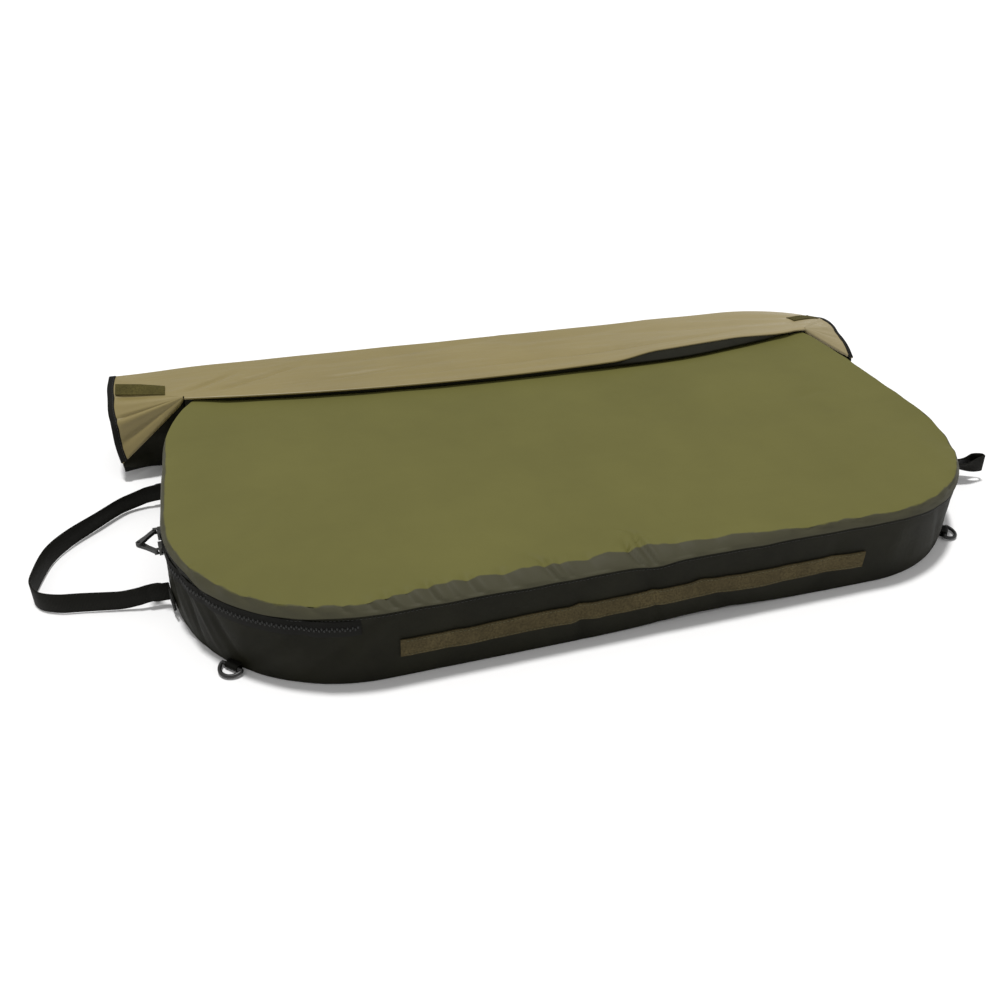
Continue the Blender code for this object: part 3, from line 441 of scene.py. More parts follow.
def coated_fabric(name, colour, vary, roughness, grain, shine, crumple, edge=None, painted_sheen=None):
    """Coated sheet: faint blotches, fine grain and drawn-out crumples.

    Where its "edge" attribute is high it takes the edge colour: painted shade and sheen on the sloping band.
    To the right it goes over to another, paler colour: a painted sheen.
    """
    made, tree, node = shader(name, colour, roughness)
    place = object_place(tree)
    tint = blotched(tree, place, 7, 4, 0.6, colour, 1 - vary, 1 + vary)
    # Painted shade and sheen: where the "edge" attribute is high the colour turns darker and greyer, with a
    # speckled boundary.
    if edge:
        second_tone = tree.nodes.new("ShaderNodeAttribute")
        second_tone.attribute_name = "edge"
        speck = noise(tree, place, 45, 4, 0.65)
        tint = between(tree, combine(tree, "ADD", second_tone.outputs["Fac"], speck), tint, edge, (0.80, 1.20))
    # Painted sheen: towards the right-hand end the colour turns paler.
    if painted_sheen:
        parts = tree.nodes.new("ShaderNodeSeparateXYZ")
        tree.links.new(place, parts.inputs["Vector"])
        tint = between(tree, parts.outputs["X"], tint, painted_sheen, PAINTED_SHEEN_SPAN)
    tree.links.new(tint, node.inputs["Base Color"])
    node.inputs["Specular IOR Level"].default_value = shine
    first = bump(tree, noise(tree, place, 1100, 2, 0.6), grain, 0.0003, node)
    second = bump(tree, noise(tree, place, 55, 3, 0.5), grain, 0.0010, node, first)
    drawn = tree.nodes.new("ShaderNodeMapping")
    drawn.inputs["Rotation"].default_value = (0, 0, 0.35)
    drawn.inputs["Scale"].default_value = (5, 22, 5)
    tree.links.new(place, drawn.inputs["Vector"])
    bump(tree, noise(tree, drawn.outputs["Vector"], 1.0, 3, 0.45), 1.0, crumple, node, second)
    return made


def woven_fabric(name, colour, roughness, pitch):
    """Plain weave: two sets of ribs over each other, with worn blotches."""
    made, tree, node = shader(name, colour, roughness)
    place, flat = object_place(tree), uv_place(tree)
    weave = combine(tree, "MULTIPLY", ribs(tree, flat, "X", pitch), ribs(tree, flat, "Y", pitch))
    tree.links.new(blotched(tree, place, 14, 4, 0.65, colour, 0.75, 1.35), node.inputs["Base Color"])
    node.inputs["Specular IOR Level"].default_value = CLOTH_SHINE
    first = bump(tree, weave, 0.5, 0.0003, node)
    bump(tree, noise(tree, place, 90, 3, 0.5), 0.35, 0.0010, node, first)
    return made


def ribbed_tape(name, colour, roughness, pitch, strength=0.6):
    """Woven tape: ribs across its length, from its own length and width."""
    made, tree, node = shader(name, colour, roughness)
    wave = ribs(tree, uv_place(tree), "X", pitch, 0.6)
    tint = between(tree, wave, scaled(colour, 0.75), scaled(colour, 1.35), (0, 1))
    tree.links.new(tint, node.inputs["Base Color"])
    node.inputs["Specular IOR Level"].default_value = CLOTH_SHINE
    first = bump(tree, wave, strength, 0.0004, node)
    bump(tree, noise(tree, object_place(tree), 160, 3, 0.5), 0.25, 0.0006, node, first)
    return made


def pile_tape(name, colour):
    """Hook or loop tape: a fine irregular pile, rubbed in places."""
    made, tree, node = shader(name, colour, 0.95)
    place = object_place(tree)
    pile = noise(tree, place, 420, 3, 0.7)
    second_tone = blotched(tree, place, 22, 4, 0.6, colour, 0.75, 1.3)
    tree.links.new(between(tree, pile, scaled(colour, 0.55), second_tone, (0.3, 0.6)), node.inputs["Base Color"])
    node.inputs["Specular IOR Level"].default_value = 0.15
    bump(tree, pile, 0.7, 0.0012, node)
    return made


def moulded(name, colour, roughness, metallic=0.0):
    """Moulded or drawn material: a slight unevenness of tone and of surface."""
    made, tree, node = shader(name, colour, roughness, metallic)
    place = object_place(tree)
    tree.links.new(blotched(tree, place, 120, 3, 0.6, colour, 0.8, 1.25), node.inputs["Base Color"])
    bump(tree, noise(tree, place, 700, 2, 0.5), 0.12, 0.0003, node)
    return made


# The olive's edge colour is painted shade and sheen for the sloping edge band.
OLIVE = coated_fabric("olive_coated", (0.120, 0.113, 0.032), 0.06, 0.60, 0.25, 0.12, 0.0012, (0.058, 0.055, 0.033))
# The khaki's paler colour to the right is a painted sheen.
KHAKI = coated_fabric("khaki_coated", (0.218, 0.172, 0.062), 0.06, 0.41, 0.25, 0.50, 0.0070,
                      painted_sheen=(0.300, 0.245, 0.125))
BLACK = woven_fabric("black_weave", (0.0098, 0.0094, 0.0050), 0.60, 0.0009)
LOOP = pile_tape("loop_tape", (0.078, 0.061, 0.028))
HOOK = pile_tape("hook_tape", (0.075, 0.063, 0.017))
WEB = ribbed_tape("webbing", (0.0072, 0.0070, 0.0052), 0.62, 0.0016)
BIND = ribbed_tape("binding", (0.0085, 0.0083, 0.0070), 0.70, 0.0010, 0.4)
ZIP_CLOTH = ribbed_tape("zip_cloth", (0.0085, 0.0083, 0.0070), 0.75, 0.0008, 0.3)
THREAD_BLACK = moulded("black_thread", (0.014, 0.014, 0.012), 0.55)
THREAD_OLIVE = moulded("olive_thread", (0.085, 0.078, 0.030), 0.55)
TEETH = moulded("zip_teeth", (0.0080, 0.0080, 0.0070), 0.70)
PLASTIC = moulded("black_plastic", (0.010, 0.010, 0.009), 0.38)
RUBBER = moulded("moulded_rubber", (0.020, 0.020, 0.018), 0.50)
METAL = moulded("dark_metal", (0.070, 0.070, 0.066), 0.35, 1.0)
FOAM = moulded("foam", (0.60, 0.58, 0.50), 0.95)


# Mat

def outline(inset, side_steps):
    """Mat's outline drawn in by an inset: four sides of equal count, anticlockwise, closer at the pleats.

    Each side runs from the middle of one corner's arc, along a straight, to the middle of the next.
    """
    half_x, half_y, radius = HALF_X - inset, HALF_Y - inset, RADIUS - inset
    points = []
    for side in range(4):
        span = (half_x if side % 2 == 0 else half_y) - radius
        reach = half_y if side % 2 == 0 else half_x
        share = np.linspace(0, 1, side_steps, endpoint=False)
        if side == 0:
            share = np.interp(share, (0, 0.05, 0.78, 1), (0, 0.08, 0.64, 1))
        s = (share - 0.5) * (2 * span + radius * math.pi / 2)
        over = np.maximum(np.abs(s) - span, 0) / radius
        along = np.sign(s) * (np.minimum(np.abs(s), span) + radius * np.sin(over))
        out = reach - radius * (1 - np.cos(over))
        turn = side * math.pi / 2 - math.pi / 2
        nx, ny = math.cos(turn), math.sin(turn)
        points.append(np.stack([nx * out - ny * along, ny * out + nx * along], 1))
    return np.concatenate(points)


def inset_of(x, y):
    """Distance in from the mat's outline."""
    qx, qy = np.abs(x) - CORNER_X, np.abs(y) - CORNER_Y
    outside = np.hypot(np.maximum(qx, 0), np.maximum(qy, 0)) + np.minimum(np.maximum(qx, qy), 0)
    return RADIUS - outside


def crown(inset):
    """Height of the top's low dome, from its edge to its middle."""
    return EDGE + (TOP - EDGE) * (1 - (1 - np.minimum(inset / HALF_Y, 1)) ** 2)


def wrapped(s):
    """Places round the outline run from the front both ways and meet behind the rear-left corner."""
    return np.where(s > WRAP, s - ROUND, s)


def around(x, y):
    """Place round the outline in metres: x along the front side, then on round anticlockwise."""
    px, py = np.clip(x, -CORNER_X, CORNER_X), np.clip(y, -CORNER_Y, CORNER_Y)
    turn = np.arctan2(y - py, x - px)
    side_x, side_y = 2 * CORNER_X, 2 * CORNER_Y
    conditions = [
        (py <= -CORNER_Y) & (np.abs(x) <= CORNER_X), (x > CORNER_X) & (y < -CORNER_Y),
        (x > CORNER_X) & (y <= CORNER_Y), (x > CORNER_X), (y > CORNER_Y) & (x >= -CORNER_X),
        (y > CORNER_Y), (y >= -CORNER_Y)]
    values = [
        px, CORNER_X + RADIUS * (turn + math.pi / 2), CORNER_X + CORNER_ARC + py + CORNER_Y,
        CORNER_X + CORNER_ARC + side_y + RADIUS * turn, CORNER_X + 2 * CORNER_ARC + side_y + CORNER_X - px,
        CORNER_X + 2 * CORNER_ARC + side_y + side_x + RADIUS * (turn - math.pi / 2),
        CORNER_X + 3 * CORNER_ARC + side_y + side_x + CORNER_Y - py]
    return wrapped(np.select(conditions, values, -CORNER_X + RADIUS * (turn + math.pi / 2)))


def gathers(s, seed=5):
    """Pinched gathers along a seam, about 1 high: sines of four pitches, sharpened at their crests."""
    rng = np.random.default_rng(seed)
    total = np.zeros_like(s)
    for pitch, weight in ((0.23, 0.4), (0.12, 0.5), (0.067, 0.5), (0.041, 0.3)):
        wave = np.sin(2 * np.pi * s / (pitch * rng.uniform(0.85, 1.2)) + rng.uniform(0, 6.28))
        total = total + weight * np.sign(wave) * np.abs(wave) ** 1.5
    return total / 1.2 * smooth((s - WRAP + ROUND) / 0.08) * smooth((WRAP - s) / 0.08)


def seam_height(s):
    """The top seam wanders a little up and down the wall, highest round the left-hand end."""
    front = 0.0032 * window(s, -0.43, 0.06, 0.34, 0.08) - 0.0036 * bell(s - 0.003, 0.022)
    left = 0.0075 * window(s, -0.80, 0.08, -0.545, 0.035)
    return SEAM + front + left + 0.0008 * gathers(s, 9)


def dart(s):
    """How far in the one sewn dart of the front band reaches."""
    return 0.020 * np.maximum(1 - np.abs(s + 0.006) / 0.026, 0)


def shoulder_inset(s):
    """How far in the edge's sloping band reaches: broad along the middle of the front, with one dart."""
    return 0.0055 + 0.0140 * window(s, -0.39, 0.17, 0.0, 0.22) + dart(s) + 0.0008 * gathers(s, 17)


def shoulder_height(s):
    """Height of the band's upper bend: a dip at the front right corner, and full where the fold ends."""
    rear_left = np.mod(s - 1.992 + ROUND / 2, ROUND) - ROUND / 2
    return (EDGE + 0.0022 * bell(s - 0.80, 0.13) - 0.0050 * bell(s - 0.565, 0.06) + 0.0026 * bell(s - 0.93, 0.08)
            + 0.0036 * bell(rear_left, 0.07))


BAND_BEND = 1.4


def mat_height(x, y):
    """Height of the top over a plan point: a sloping band up from the seam, a bend, and a low crown.

    In the band, with inset = b (1 - sin(t)^1.4), it is seam + (shoulder - seam) cos(t)^1.4.
    """
    inset = np.maximum(inset_of(x, y), 0)
    s = around(x, y)
    b, high, low = shoulder_inset(s), shoulder_height(s), seam_height(s)
    flat = crown(inset) + (high - crown(b)) * (1 - smooth((inset - b) / (BORDER - b)))
    sine = np.clip(1 - inset / b, 0, 1) ** (1 / BAND_BEND)
    band = low + (high - low) * np.sqrt(np.maximum(1 - sine ** 2, 0)) ** BAND_BEND
    return np.where(inset < b, band, flat)


PULL_PLACE, PULL_WIDTH, PULL_OUT = 0.965, 0.075, 0.030


def pull(points):
    """The cover's seam draws the upper half of the rear right corner outwards, squarer than its foot."""
    x, y, z = points[..., 0], points[..., 1], points[..., 2]
    away = np.stack([x - np.clip(x, -CORNER_X, CORNER_X), y - np.clip(y, -CORNER_Y, CORNER_Y)], -1)
    away = away / np.maximum(np.linalg.norm(away, axis=-1, keepdims=True), 1e-6)
    out = PULL_OUT * bell(around(x, y) - PULL_PLACE, PULL_WIDTH) * (1 - smooth(inset_of(x, y) / 0.10))
    moved = points.copy()
    moved[..., :2] += away * (out * smooth((z - 0.030) / 0.055))[..., None]
    return moved


PLEATS = [
    (-0.312, 0.0045, 0.0018), (-0.292, 0.0040, 0.0022), (-0.270, 0.0045, 0.0020), (-0.248, 0.0040, 0.0026),
    (-0.228, 0.0040, 0.0016), (-0.205, 0.0060, 0.0026), (-0.166, 0.0090, 0.0024), (-0.118, 0.0045, 0.0034),
    (-0.102, 0.0050, 0.0018), (-0.067, 0.0110, 0.0024), (-0.018, 0.0035, 0.0034), (-0.002, 0.0040, 0.0030),
    (0.040, 0.0080, 0.0014), (0.085, 0.0090, 0.0014), (0.130, 0.0110, 0.0011), (0.205, 0.0100, 0.0012),
    (-0.340, 0.0050, 0.0016), (-0.372, 0.0060, 0.0014), (-0.410, 0.0070, 0.0014), (-0.448, 0.0070, 0.0018),
    (-0.490, 0.0090, 0.0014), (-0.535, 0.0080, 0.0016), (-0.575, 0.0080, 0.0012), (0.270, 0.0080, 0.0012),
    (0.335, 0.0100, 0.0011), (0.400, 0.0110, 0.0010), (0.460, 0.0120, 0.0011), (0.520, 0.0120, 0.0010)]
TOP_CREASES = [
    ((-0.467, -0.176), (-0.404, -0.120), 0.0055, -0.0016), ((-0.430, -0.150), (-0.330, -0.075), 0.0100, -0.0010),
    ((-0.480, -0.150), (-0.380, -0.070), 0.0100, 0.0010), ((-0.145, -0.255), (-0.116, -0.282), 0.0040, -0.0022),
    ((-0.030, -0.236), (0.004, -0.262), 0.0040, -0.0026), ((-0.050, -0.270), (-0.014, -0.240), 0.0060, 0.0016),
    ((-0.200, -0.180), (-0.150, -0.240), 0.0060, -0.0008), ((0.040, -0.205), (0.043, -0.256), 0.0050, -0.0012),
    ((-0.420, 0.050), (-0.250, 0.075), 0.0120, 0.0008), ((0.150, 0.020), (0.360, 0.060), 0.0200, 0.0009),
    ((0.300, -0.200), (0.460, -0.120), 0.0160, 0.0010), ((-0.060, -0.120), (0.120, -0.090), 0.0220, 0.0008),
    ((0.355, -0.010), (0.420, 0.010), 0.0080, -0.0010)]

TOP_STEPS, BORDER_STEPS, FLAT_SHARE = 130, 44, 0.3


def top_grid():
    """Points of the top as a square of rings: even rings in the middle, then the border and its band.

    A middle ring is the border's inner outline scaled down; a border ring has its own inset.
    """
    c, inner = TOP_STEPS, TOP_STEPS - BORDER_STEPS
    points = np.zeros((2 * c + 1, 2 * c + 1, 3))
    for ring in range(1, c + 1):
        plan = outline(BORDER, 2 * ring)
        if ring <= inner:
            plan = plan * (ring / inner)
        else:
            share = (ring - inner) / BORDER_STEPS
            nearest = np.clip(plan, (-CORNER_X, -CORNER_Y), (CORNER_X, CORNER_Y))
            b = shoulder_inset(around(plan[:, 0], plan[:, 1]))
            if share <= FLAT_SHARE:
                inset = BORDER + (b - BORDER) * share / FLAT_SHARE
            else:
                turn = (share - FLAT_SHARE) / (1 - FLAT_SHARE) * math.pi / 2
                inset = b * (1 - math.sin(turn) ** BAND_BEND)
            plan = plan + unit(plan - nearest) * (BORDER - inset)[:, None]
        loop = np.column_stack([plan, mat_height(plan[:, 0], plan[:, 1])])
        k, steps, lo, hi = 2 * ring, np.arange(2 * ring), c - ring, c + ring
        points[lo + steps, lo] = loop[:k]
        points[hi, lo + steps] = loop[k:2 * k]
        points[hi - steps, hi] = loop[2 * k:3 * k]
        points[lo, hi - steps] = loop[3 * k:]
    points[c, c] = (0, 0, TOP)
    return points


def build_top():
    """Padded top, with slanting pleats in its edge band and faint creases across it."""
    points = top_grid()
    x, y = points[..., 0].copy(), points[..., 1].copy()
    inset = np.maximum(inset_of(x, y), 0)
    s = around(x, y)
    b, low, high = shoulder_inset(s), seam_height(s), shoulder_height(s)
    up = np.clip((points[..., 2] - low) / (high - low), 0, 1)
    n = facing_up(grid_normals(points))
    held = smooth(inset / 0.003)
    past = np.maximum(inset - b, 0)
    near = held * (1 - smooth(past / 0.02))
    lift = near * gathers(s) * 0.0011 * (1 - 0.75 * smooth((s - 0.55) / 0.1))
    for place, width, depth in PLEATS:
        line = s - place + 0.010 * up
        reach = 0.005 + 4 * depth
        shape = np.exp(-(np.abs(line) / (0.0012 + width * (1.2 - 0.4 * up))) ** 1.4)
        lift = lift - 1.5 * depth * shape * held * (0.4 + 0.6 * up) * (1 - smooth(past / reach))
        lift = lift + 0.65 * depth * bell(line - 1.9 * width, width) * near
    far = smooth(past / 0.04)
    lift = lift + far * (ripple(x, y, 3, 0.30) * 0.0006 + ripple(x, y, 8, 0.11) * 0.00025)
    for a, c, w, h in TOP_CREASES:
        lift = lift + crease(x, y, a, c, w, h) * held
    press = bell(y - roll_y(x) - 0.012, 0.035) * window(x, 0.05, 0.12, 0.38, 0.12)
    lift = lift - 0.0028 * press
    points = pull(points + n * lift[..., None])
    uv = points[..., :2].reshape(-1, 2)
    top = add_mesh("mat_top", points.reshape(-1, 3), quads(*points.shape[:2]), OLIVE, uv, 70)
    # Painted shade and sheen: the "edge" attribute marks the steep part of the edge band, along the left-hand end
    # and the front, to be painted darker and greyer.
    edge = top.data.attributes.new("edge", "FLOAT", "POINT")
    second_tone = 1 - smooth((inset - b + 0.7 * dart(s) + 0.0030 + 0.0014 * gathers(s * 1.7, 31)) / 0.0060)
    second_tone = second_tone * window(s, WRAP - ROUND, 0.05, 0.62, 0.12)
    edge.data.foreach_set("value", second_tone.ravel().astype(np.float32))
    dress(top, "mat", "olive_top", "top_panel")


WALL_FOLDS = [
    (-0.655, -0.615, 0.0070, -0.0026), (-0.632, -0.592, 0.0045, 0.0012), (-0.610, -0.570, 0.0060, -0.0026),
    (-0.590, -0.545, 0.0040, 0.0014), (-0.566, -0.525, 0.0060, -0.0028), (-0.545, -0.490, 0.0045, 0.0015),
    (-0.520, -0.462, 0.0080, -0.0028), (-0.385, -0.470, 0.0090, -0.0024), (-0.362, -0.445, 0.0070, 0.0010),
    (-0.318, -0.402, 0.0100, -0.0022), (-0.298, -0.372, 0.0080, 0.0009), (-0.225, -0.250, 0.0100, -0.0012),
    (-0.098, -0.084, 0.0060, -0.0022), (-0.085, -0.060, 0.0070, 0.0008), (-0.014, 0.012, 0.0060, -0.0022),
    (0.030, 0.110, 0.0110, -0.0024), (0.075, 0.165, 0.0120, 0.0009), (0.240, 0.215, 0.0120, -0.0010),
    (0.395, 0.430, 0.0090, -0.0020), (0.450, 0.500, 0.0110, -0.0022), (0.475, 0.525, 0.0060, 0.0010),
    (0.520, 0.545, 0.0100, -0.0020), (0.580, 0.620, 0.0120, -0.0018), (1.100, 1.140, 0.0120, -0.0020),
    (1.300, 1.260, 0.0140, -0.0020), (1.700, 1.660, 0.0140, -0.0020), (1.950, 1.920, 0.0140, -0.0020)]


def wall_lift(s):
    """The base seam rides up a little along the middle of the front."""
    return 0.0034 * bell(s - 0.075, 0.085)


def wall_shift(s, z):
    """How far the wall stands out from its outline: a belly, seeded slack and slanting folds."""
    share = z / SEAM
    draw = np.where(share > 0.5, 0.0008, 0.0030) * (2 * share - 1) ** 2
    belly = np.sin(np.pi * np.clip(share, 0, 1))
    shift = -draw - 0.0006 * belly + belly * (0.0007 * gathers(s, 11) + 0.0006 * ripple(s, z * 1.5, 21, 0.09))
    for high, low, width, depth in WALL_FOLDS:
        line = low + (high - low) * share
        shift = shift + depth * bell(s - line, width) * np.clip(belly, 0, 1) ** 0.5
    shift = shift - 0.0030 * bell(s - 0.075, 0.085) * (1 - smooth(share / 0.35))
    return np.minimum(shift, 0.0014)


def wall_at(s, z, out=0.0):
    """Points on the front side of the wall, at places s along it."""
    return np.stack([s + 0 * z, -HALF_Y - wall_shift(s, z) - out, z + 0 * s], -1)


def plan_at(s):
    """Plan point and outward direction at a place round the outline."""
    t = np.mod(s + CORNER_X, ROUND)
    x, y = np.full_like(t, np.nan), np.full_like(t, np.nan)
    nx, ny = np.zeros_like(t), np.zeros_like(t)
    begin, turn = 0.0, -math.pi / 2
    for corner_x, corner_y, straight in ((1, -1, 2 * CORNER_X), (1, 1, 2 * CORNER_Y),
                                         (-1, 1, 2 * CORNER_X), (-1, -1, 2 * CORNER_Y)):
        cx, cy = corner_x * CORNER_X, corner_y * CORNER_Y
        back = np.clip(begin + straight - t, 0, straight)
        angle = turn + np.clip(t - begin - straight, 0, CORNER_ARC) / RADIUS
        here = (t >= begin) & (t < begin + straight + CORNER_ARC)
        px = cx + RADIUS * np.cos(angle) + back * math.sin(turn)
        py = cy + RADIUS * np.sin(angle) - back * math.cos(turn)
        x, y = np.where(here, px, x), np.where(here, py, y)
        nx, ny = np.where(here, np.cos(angle), nx), np.where(here, np.sin(angle), ny)
        begin += straight + CORNER_ARC
        turn += math.pi / 2
    return np.stack([x, y], -1), np.stack([nx, ny], -1)


def wall_points(s, z, out=0.0):
    """Points on the wall: s round it, z up it, out from its cloth."""
    plan, away = plan_at(s)
    flat = plan + away * (wall_shift(s, z) + out)[..., None]
    return pull(np.concatenate([flat, (z + 0 * s)[..., None]], -1))


WALL_COLUMNS, BASE_Z = 900, 0.0004
WALL_S = np.sort(wrapped(np.linspace(-CORNER_X, ROUND - CORNER_X, WALL_COLUMNS, endpoint=False)))


def build_wall():
    """Side wall between the seams, with its belly and slack folds, and the base sewn to its foot."""
    s = WALL_S
    rows = np.linspace(0, 1, 30)
    foot, head = 0.0006 + wall_lift(s), seam_height(s)
    z = foot[:, None] + (head - foot)[:, None] * rows[None]
    points = wall_points(s[:, None] + 0 * z, z)
    uv = np.stack([s[:, None] + 0 * z, z], -1).reshape(-1, 2)
    wall = add_mesh("mat_wall", points.reshape(-1, 3), quads(len(s), len(rows), True), BLACK, uv, 60)
    dress(wall, "mat", "black_fabric", "side_wall")
    base_rows = []
    for inward, share in ((0.0, 1.0), (0.002, 0.5), (0.006, 0.12), (0.02, 0.0), (0.10, 0.0)):
        plan, away = plan_at(s)
        flat = plan + away * (wall_shift(s, foot) - inward)[:, None]
        base_rows.append(np.column_stack([flat, BASE_Z + (foot - BASE_Z) * share]))
    grid = np.stack(base_rows, 1)
    count, levels = grid.shape[:2]
    ring = np.arange(count) * levels + levels - 1
    faces = [*quads(count, levels, True, flip=True)]
    faces += [(count * levels, b, a) for a, b in zip(ring, np.roll(ring, -1))]
    points = np.vstack([grid.reshape(-1, 3), [(0, 0, BASE_Z)]])
    base = add_mesh("mat_base", points, faces, BLACK, points[:, :2], 60)
    dress(base, "mat", "black_fabric", "base_panel")


def build_foam():
    """Foam slab inside, a few millimetres within its skins."""
    rings = []
    for inset, z in ((0.012, 0.0030), (0.007, 0.0060), (0.006, 0.070), (0.010, 0.083), (0.022, 0.0925),
                     (0.040, 0.0960), (0.110, 0.0985)):
        plan = outline(inset, 60)
        rings.append(np.column_stack([plan, np.full(len(plan), z)]))
    grid = np.stack(rings, 1)
    count, levels = grid.shape[:2]
    ring = np.arange(count) * levels
    faces = [*quads(count, levels, True), ring[::-1], ring + levels - 1]
    foam = add_mesh("foam_slab", grid.reshape(-1, 3), faces, FOAM)
    dress(foam, "mat", "foam", "foam_core")


STRIP_HALF, STRIP_SHIFT, STRIP_LOW, STRIP_HIGH = 0.285, -0.007, 0.0320, 0.0550
STRIP_THICK, STRIP_OUT, STRIP_SEWN_OUT = 0.0016, 0.0014, 0.0024


def build_front_strip():
    """Loop tape sewn along the front wall, following its unevenness, stitched along its two long edges."""
    x = np.linspace(-STRIP_HALF, STRIP_HALF, 220) + STRIP_SHIFT
    wander = 0.0012 * np.sin(x * 9 + 1.0) + 0.0006 * np.sin(x * 37) + 0.0010 * bell(x + 0.085, 0.012)
    z = STRIP_LOW + wander[:, None] + (STRIP_HIGH - STRIP_LOW) * np.linspace(0, 1, 9)[None]
    strip = cloth("front_strip", wall_at(x[:, None] + 0 * z, z, STRIP_OUT), STRIP_THICK, LOOP)
    dress(strip, "mat", "loop_tape", "front_loop_strip")
    for name, share in (("low", 0.09), ("high", 0.91)):
        line = wall_at(x, STRIP_LOW + wander + (STRIP_HIGH - STRIP_LOW) * share, STRIP_SEWN_OUT)
        sewn = stitches("strip_stitches_" + name, line[2:-2], (0, -1, 0), THREAD_OLIVE)
        dress(sewn, "mat", "loop_tape")


def build_seam():
    """Stitches just under the top seam, all round."""
    line = wall_points(WALL_S, seam_height(WALL_S) - 0.0035, 0.0003)
    facing = np.column_stack([plan_at(WALL_S)[1], 0 * WALL_S])
    dress(stitches("wall_stitches", line, facing, THREAD_BLACK), "mat", "black_fabric")


# Zip

ZIP_FRONT, ZIP_REAR, ZIP_HEIGHT = math.radians(84), math.radians(22), 0.078
ZIP_WIDTH, ZIP_THICK, TOOTH_PITCH, TOOTH, TOOTH_ASIDE, TOOTH_OUT = (
    0.020, 0.0007, 0.0026, (0.0019, 0.0042, 0.0020), 0.0011, 0.0006)


def build_zip():
    """Tape and moulded teeth along the left-hand end."""
    left = CORNER_X + 3 * CORNER_ARC + 2 * CORNER_Y + 2 * CORNER_X
    s = wrapped(np.arange(left - RADIUS * ZIP_REAR, left + 2 * CORNER_Y + RADIUS * ZIP_FRONT, 0.004))
    away = np.column_stack([plan_at(s)[1], 0 * s])
    middle = wall_points(s, 0 * s + ZIP_HEIGHT, ZIP_THICK)
    cloth_tape = tape("zip_tape_cloth", middle, UPRIGHT, away, ZIP_WIDTH, ZIP_THICK, ZIP_CLOTH)
    dress(cloth_tape, "mat", "zip_tape", "zip_tape")
    line = lengths(middle)
    at = np.arange(TOOTH_PITCH, line[-1] - TOOTH_PITCH, TOOTH_PITCH)
    centres, out, along = (sample(v, at, line) for v in (middle, away, np.gradient(middle, axis=0)))
    side = np.where(np.arange(len(at)) % 2, 1, -1)[:, None] * TOOTH_ASIDE * UPRIGHT
    teeth = repeat("zip_teeth", *bead(*TOOTH), centres + side + unit(out) * TOOTH_OUT, along, out, TEETH)
    dress(teeth, "mat", "zip_chain", "zip_chain")


# Webbing

HANDLE_SPAN, HANDLE_REACH, HANDLE_X, HANDLE_Z = 0.2164, 0.139, -HALF_X - 0.0145, 0.020
HANDLE_ROUTE = [
    (-0.085, 1), (-0.03, 1), (0, 1), (0.10, 1), (0.14, 1), (0.33, 0.92), (0.55, 0.65), (0.77, 0.36),
    (0.92, 0.05), (0.99, -0.34), (1, -0.56), (0.93, -0.74), (0.78, -0.85), (0.58, -0.90), (0.33, -0.96),
    (0.14, -1), (0.10, -1), (0, -1), (-0.03, -1), (-0.085, -1)]
ANCHOR_LENGTH, ANCHOR_OUT, LAP, BOX_REACH, BOX_RISE, LEAN = 0.030, 0.0022, 0.0023, 0.0075, 0.0085, 0.16


def round_tips(path, width):
    """Widths of a tape whose two ends are cut round."""
    line = lengths(path)
    near = np.minimum(line, line[-1] - line) / (width / 2)
    return width * np.sqrt(np.clip(1 - (1 - np.clip(near + 0.12, 0, 1)) ** 2, 0.15, 1))


def box_stitch(name, centre, along, facing, body):
    """Sewn square with a cross in it, on a lapped webbing end."""
    reach, rise = np.asarray(along, float) * BOX_REACH, UPRIGHT * BOX_RISE
    route = [centre + reach * i + rise * j for i, j in
             ((-1, -1), (1, -1), (1, 1), (-1, 1), (-1, -1), (1, 1), (1, -1), (-1, 1))]
    dress(stitches(name, resample(np.array(route), 0.0015), facing, THREAD_BLACK), body, "webbing")


def on_edge(name, plan, z, side=1):
    """Webbing on its edge along a plan path at a height, facing left or, with side -1, right of it."""
    path = np.column_stack([plan, np.full(len(plan), z)])
    return tape(name, path, UPRIGHT, side * beside(path), round_tips(path, WEB_WIDTH), WEB_THICK, WEB)


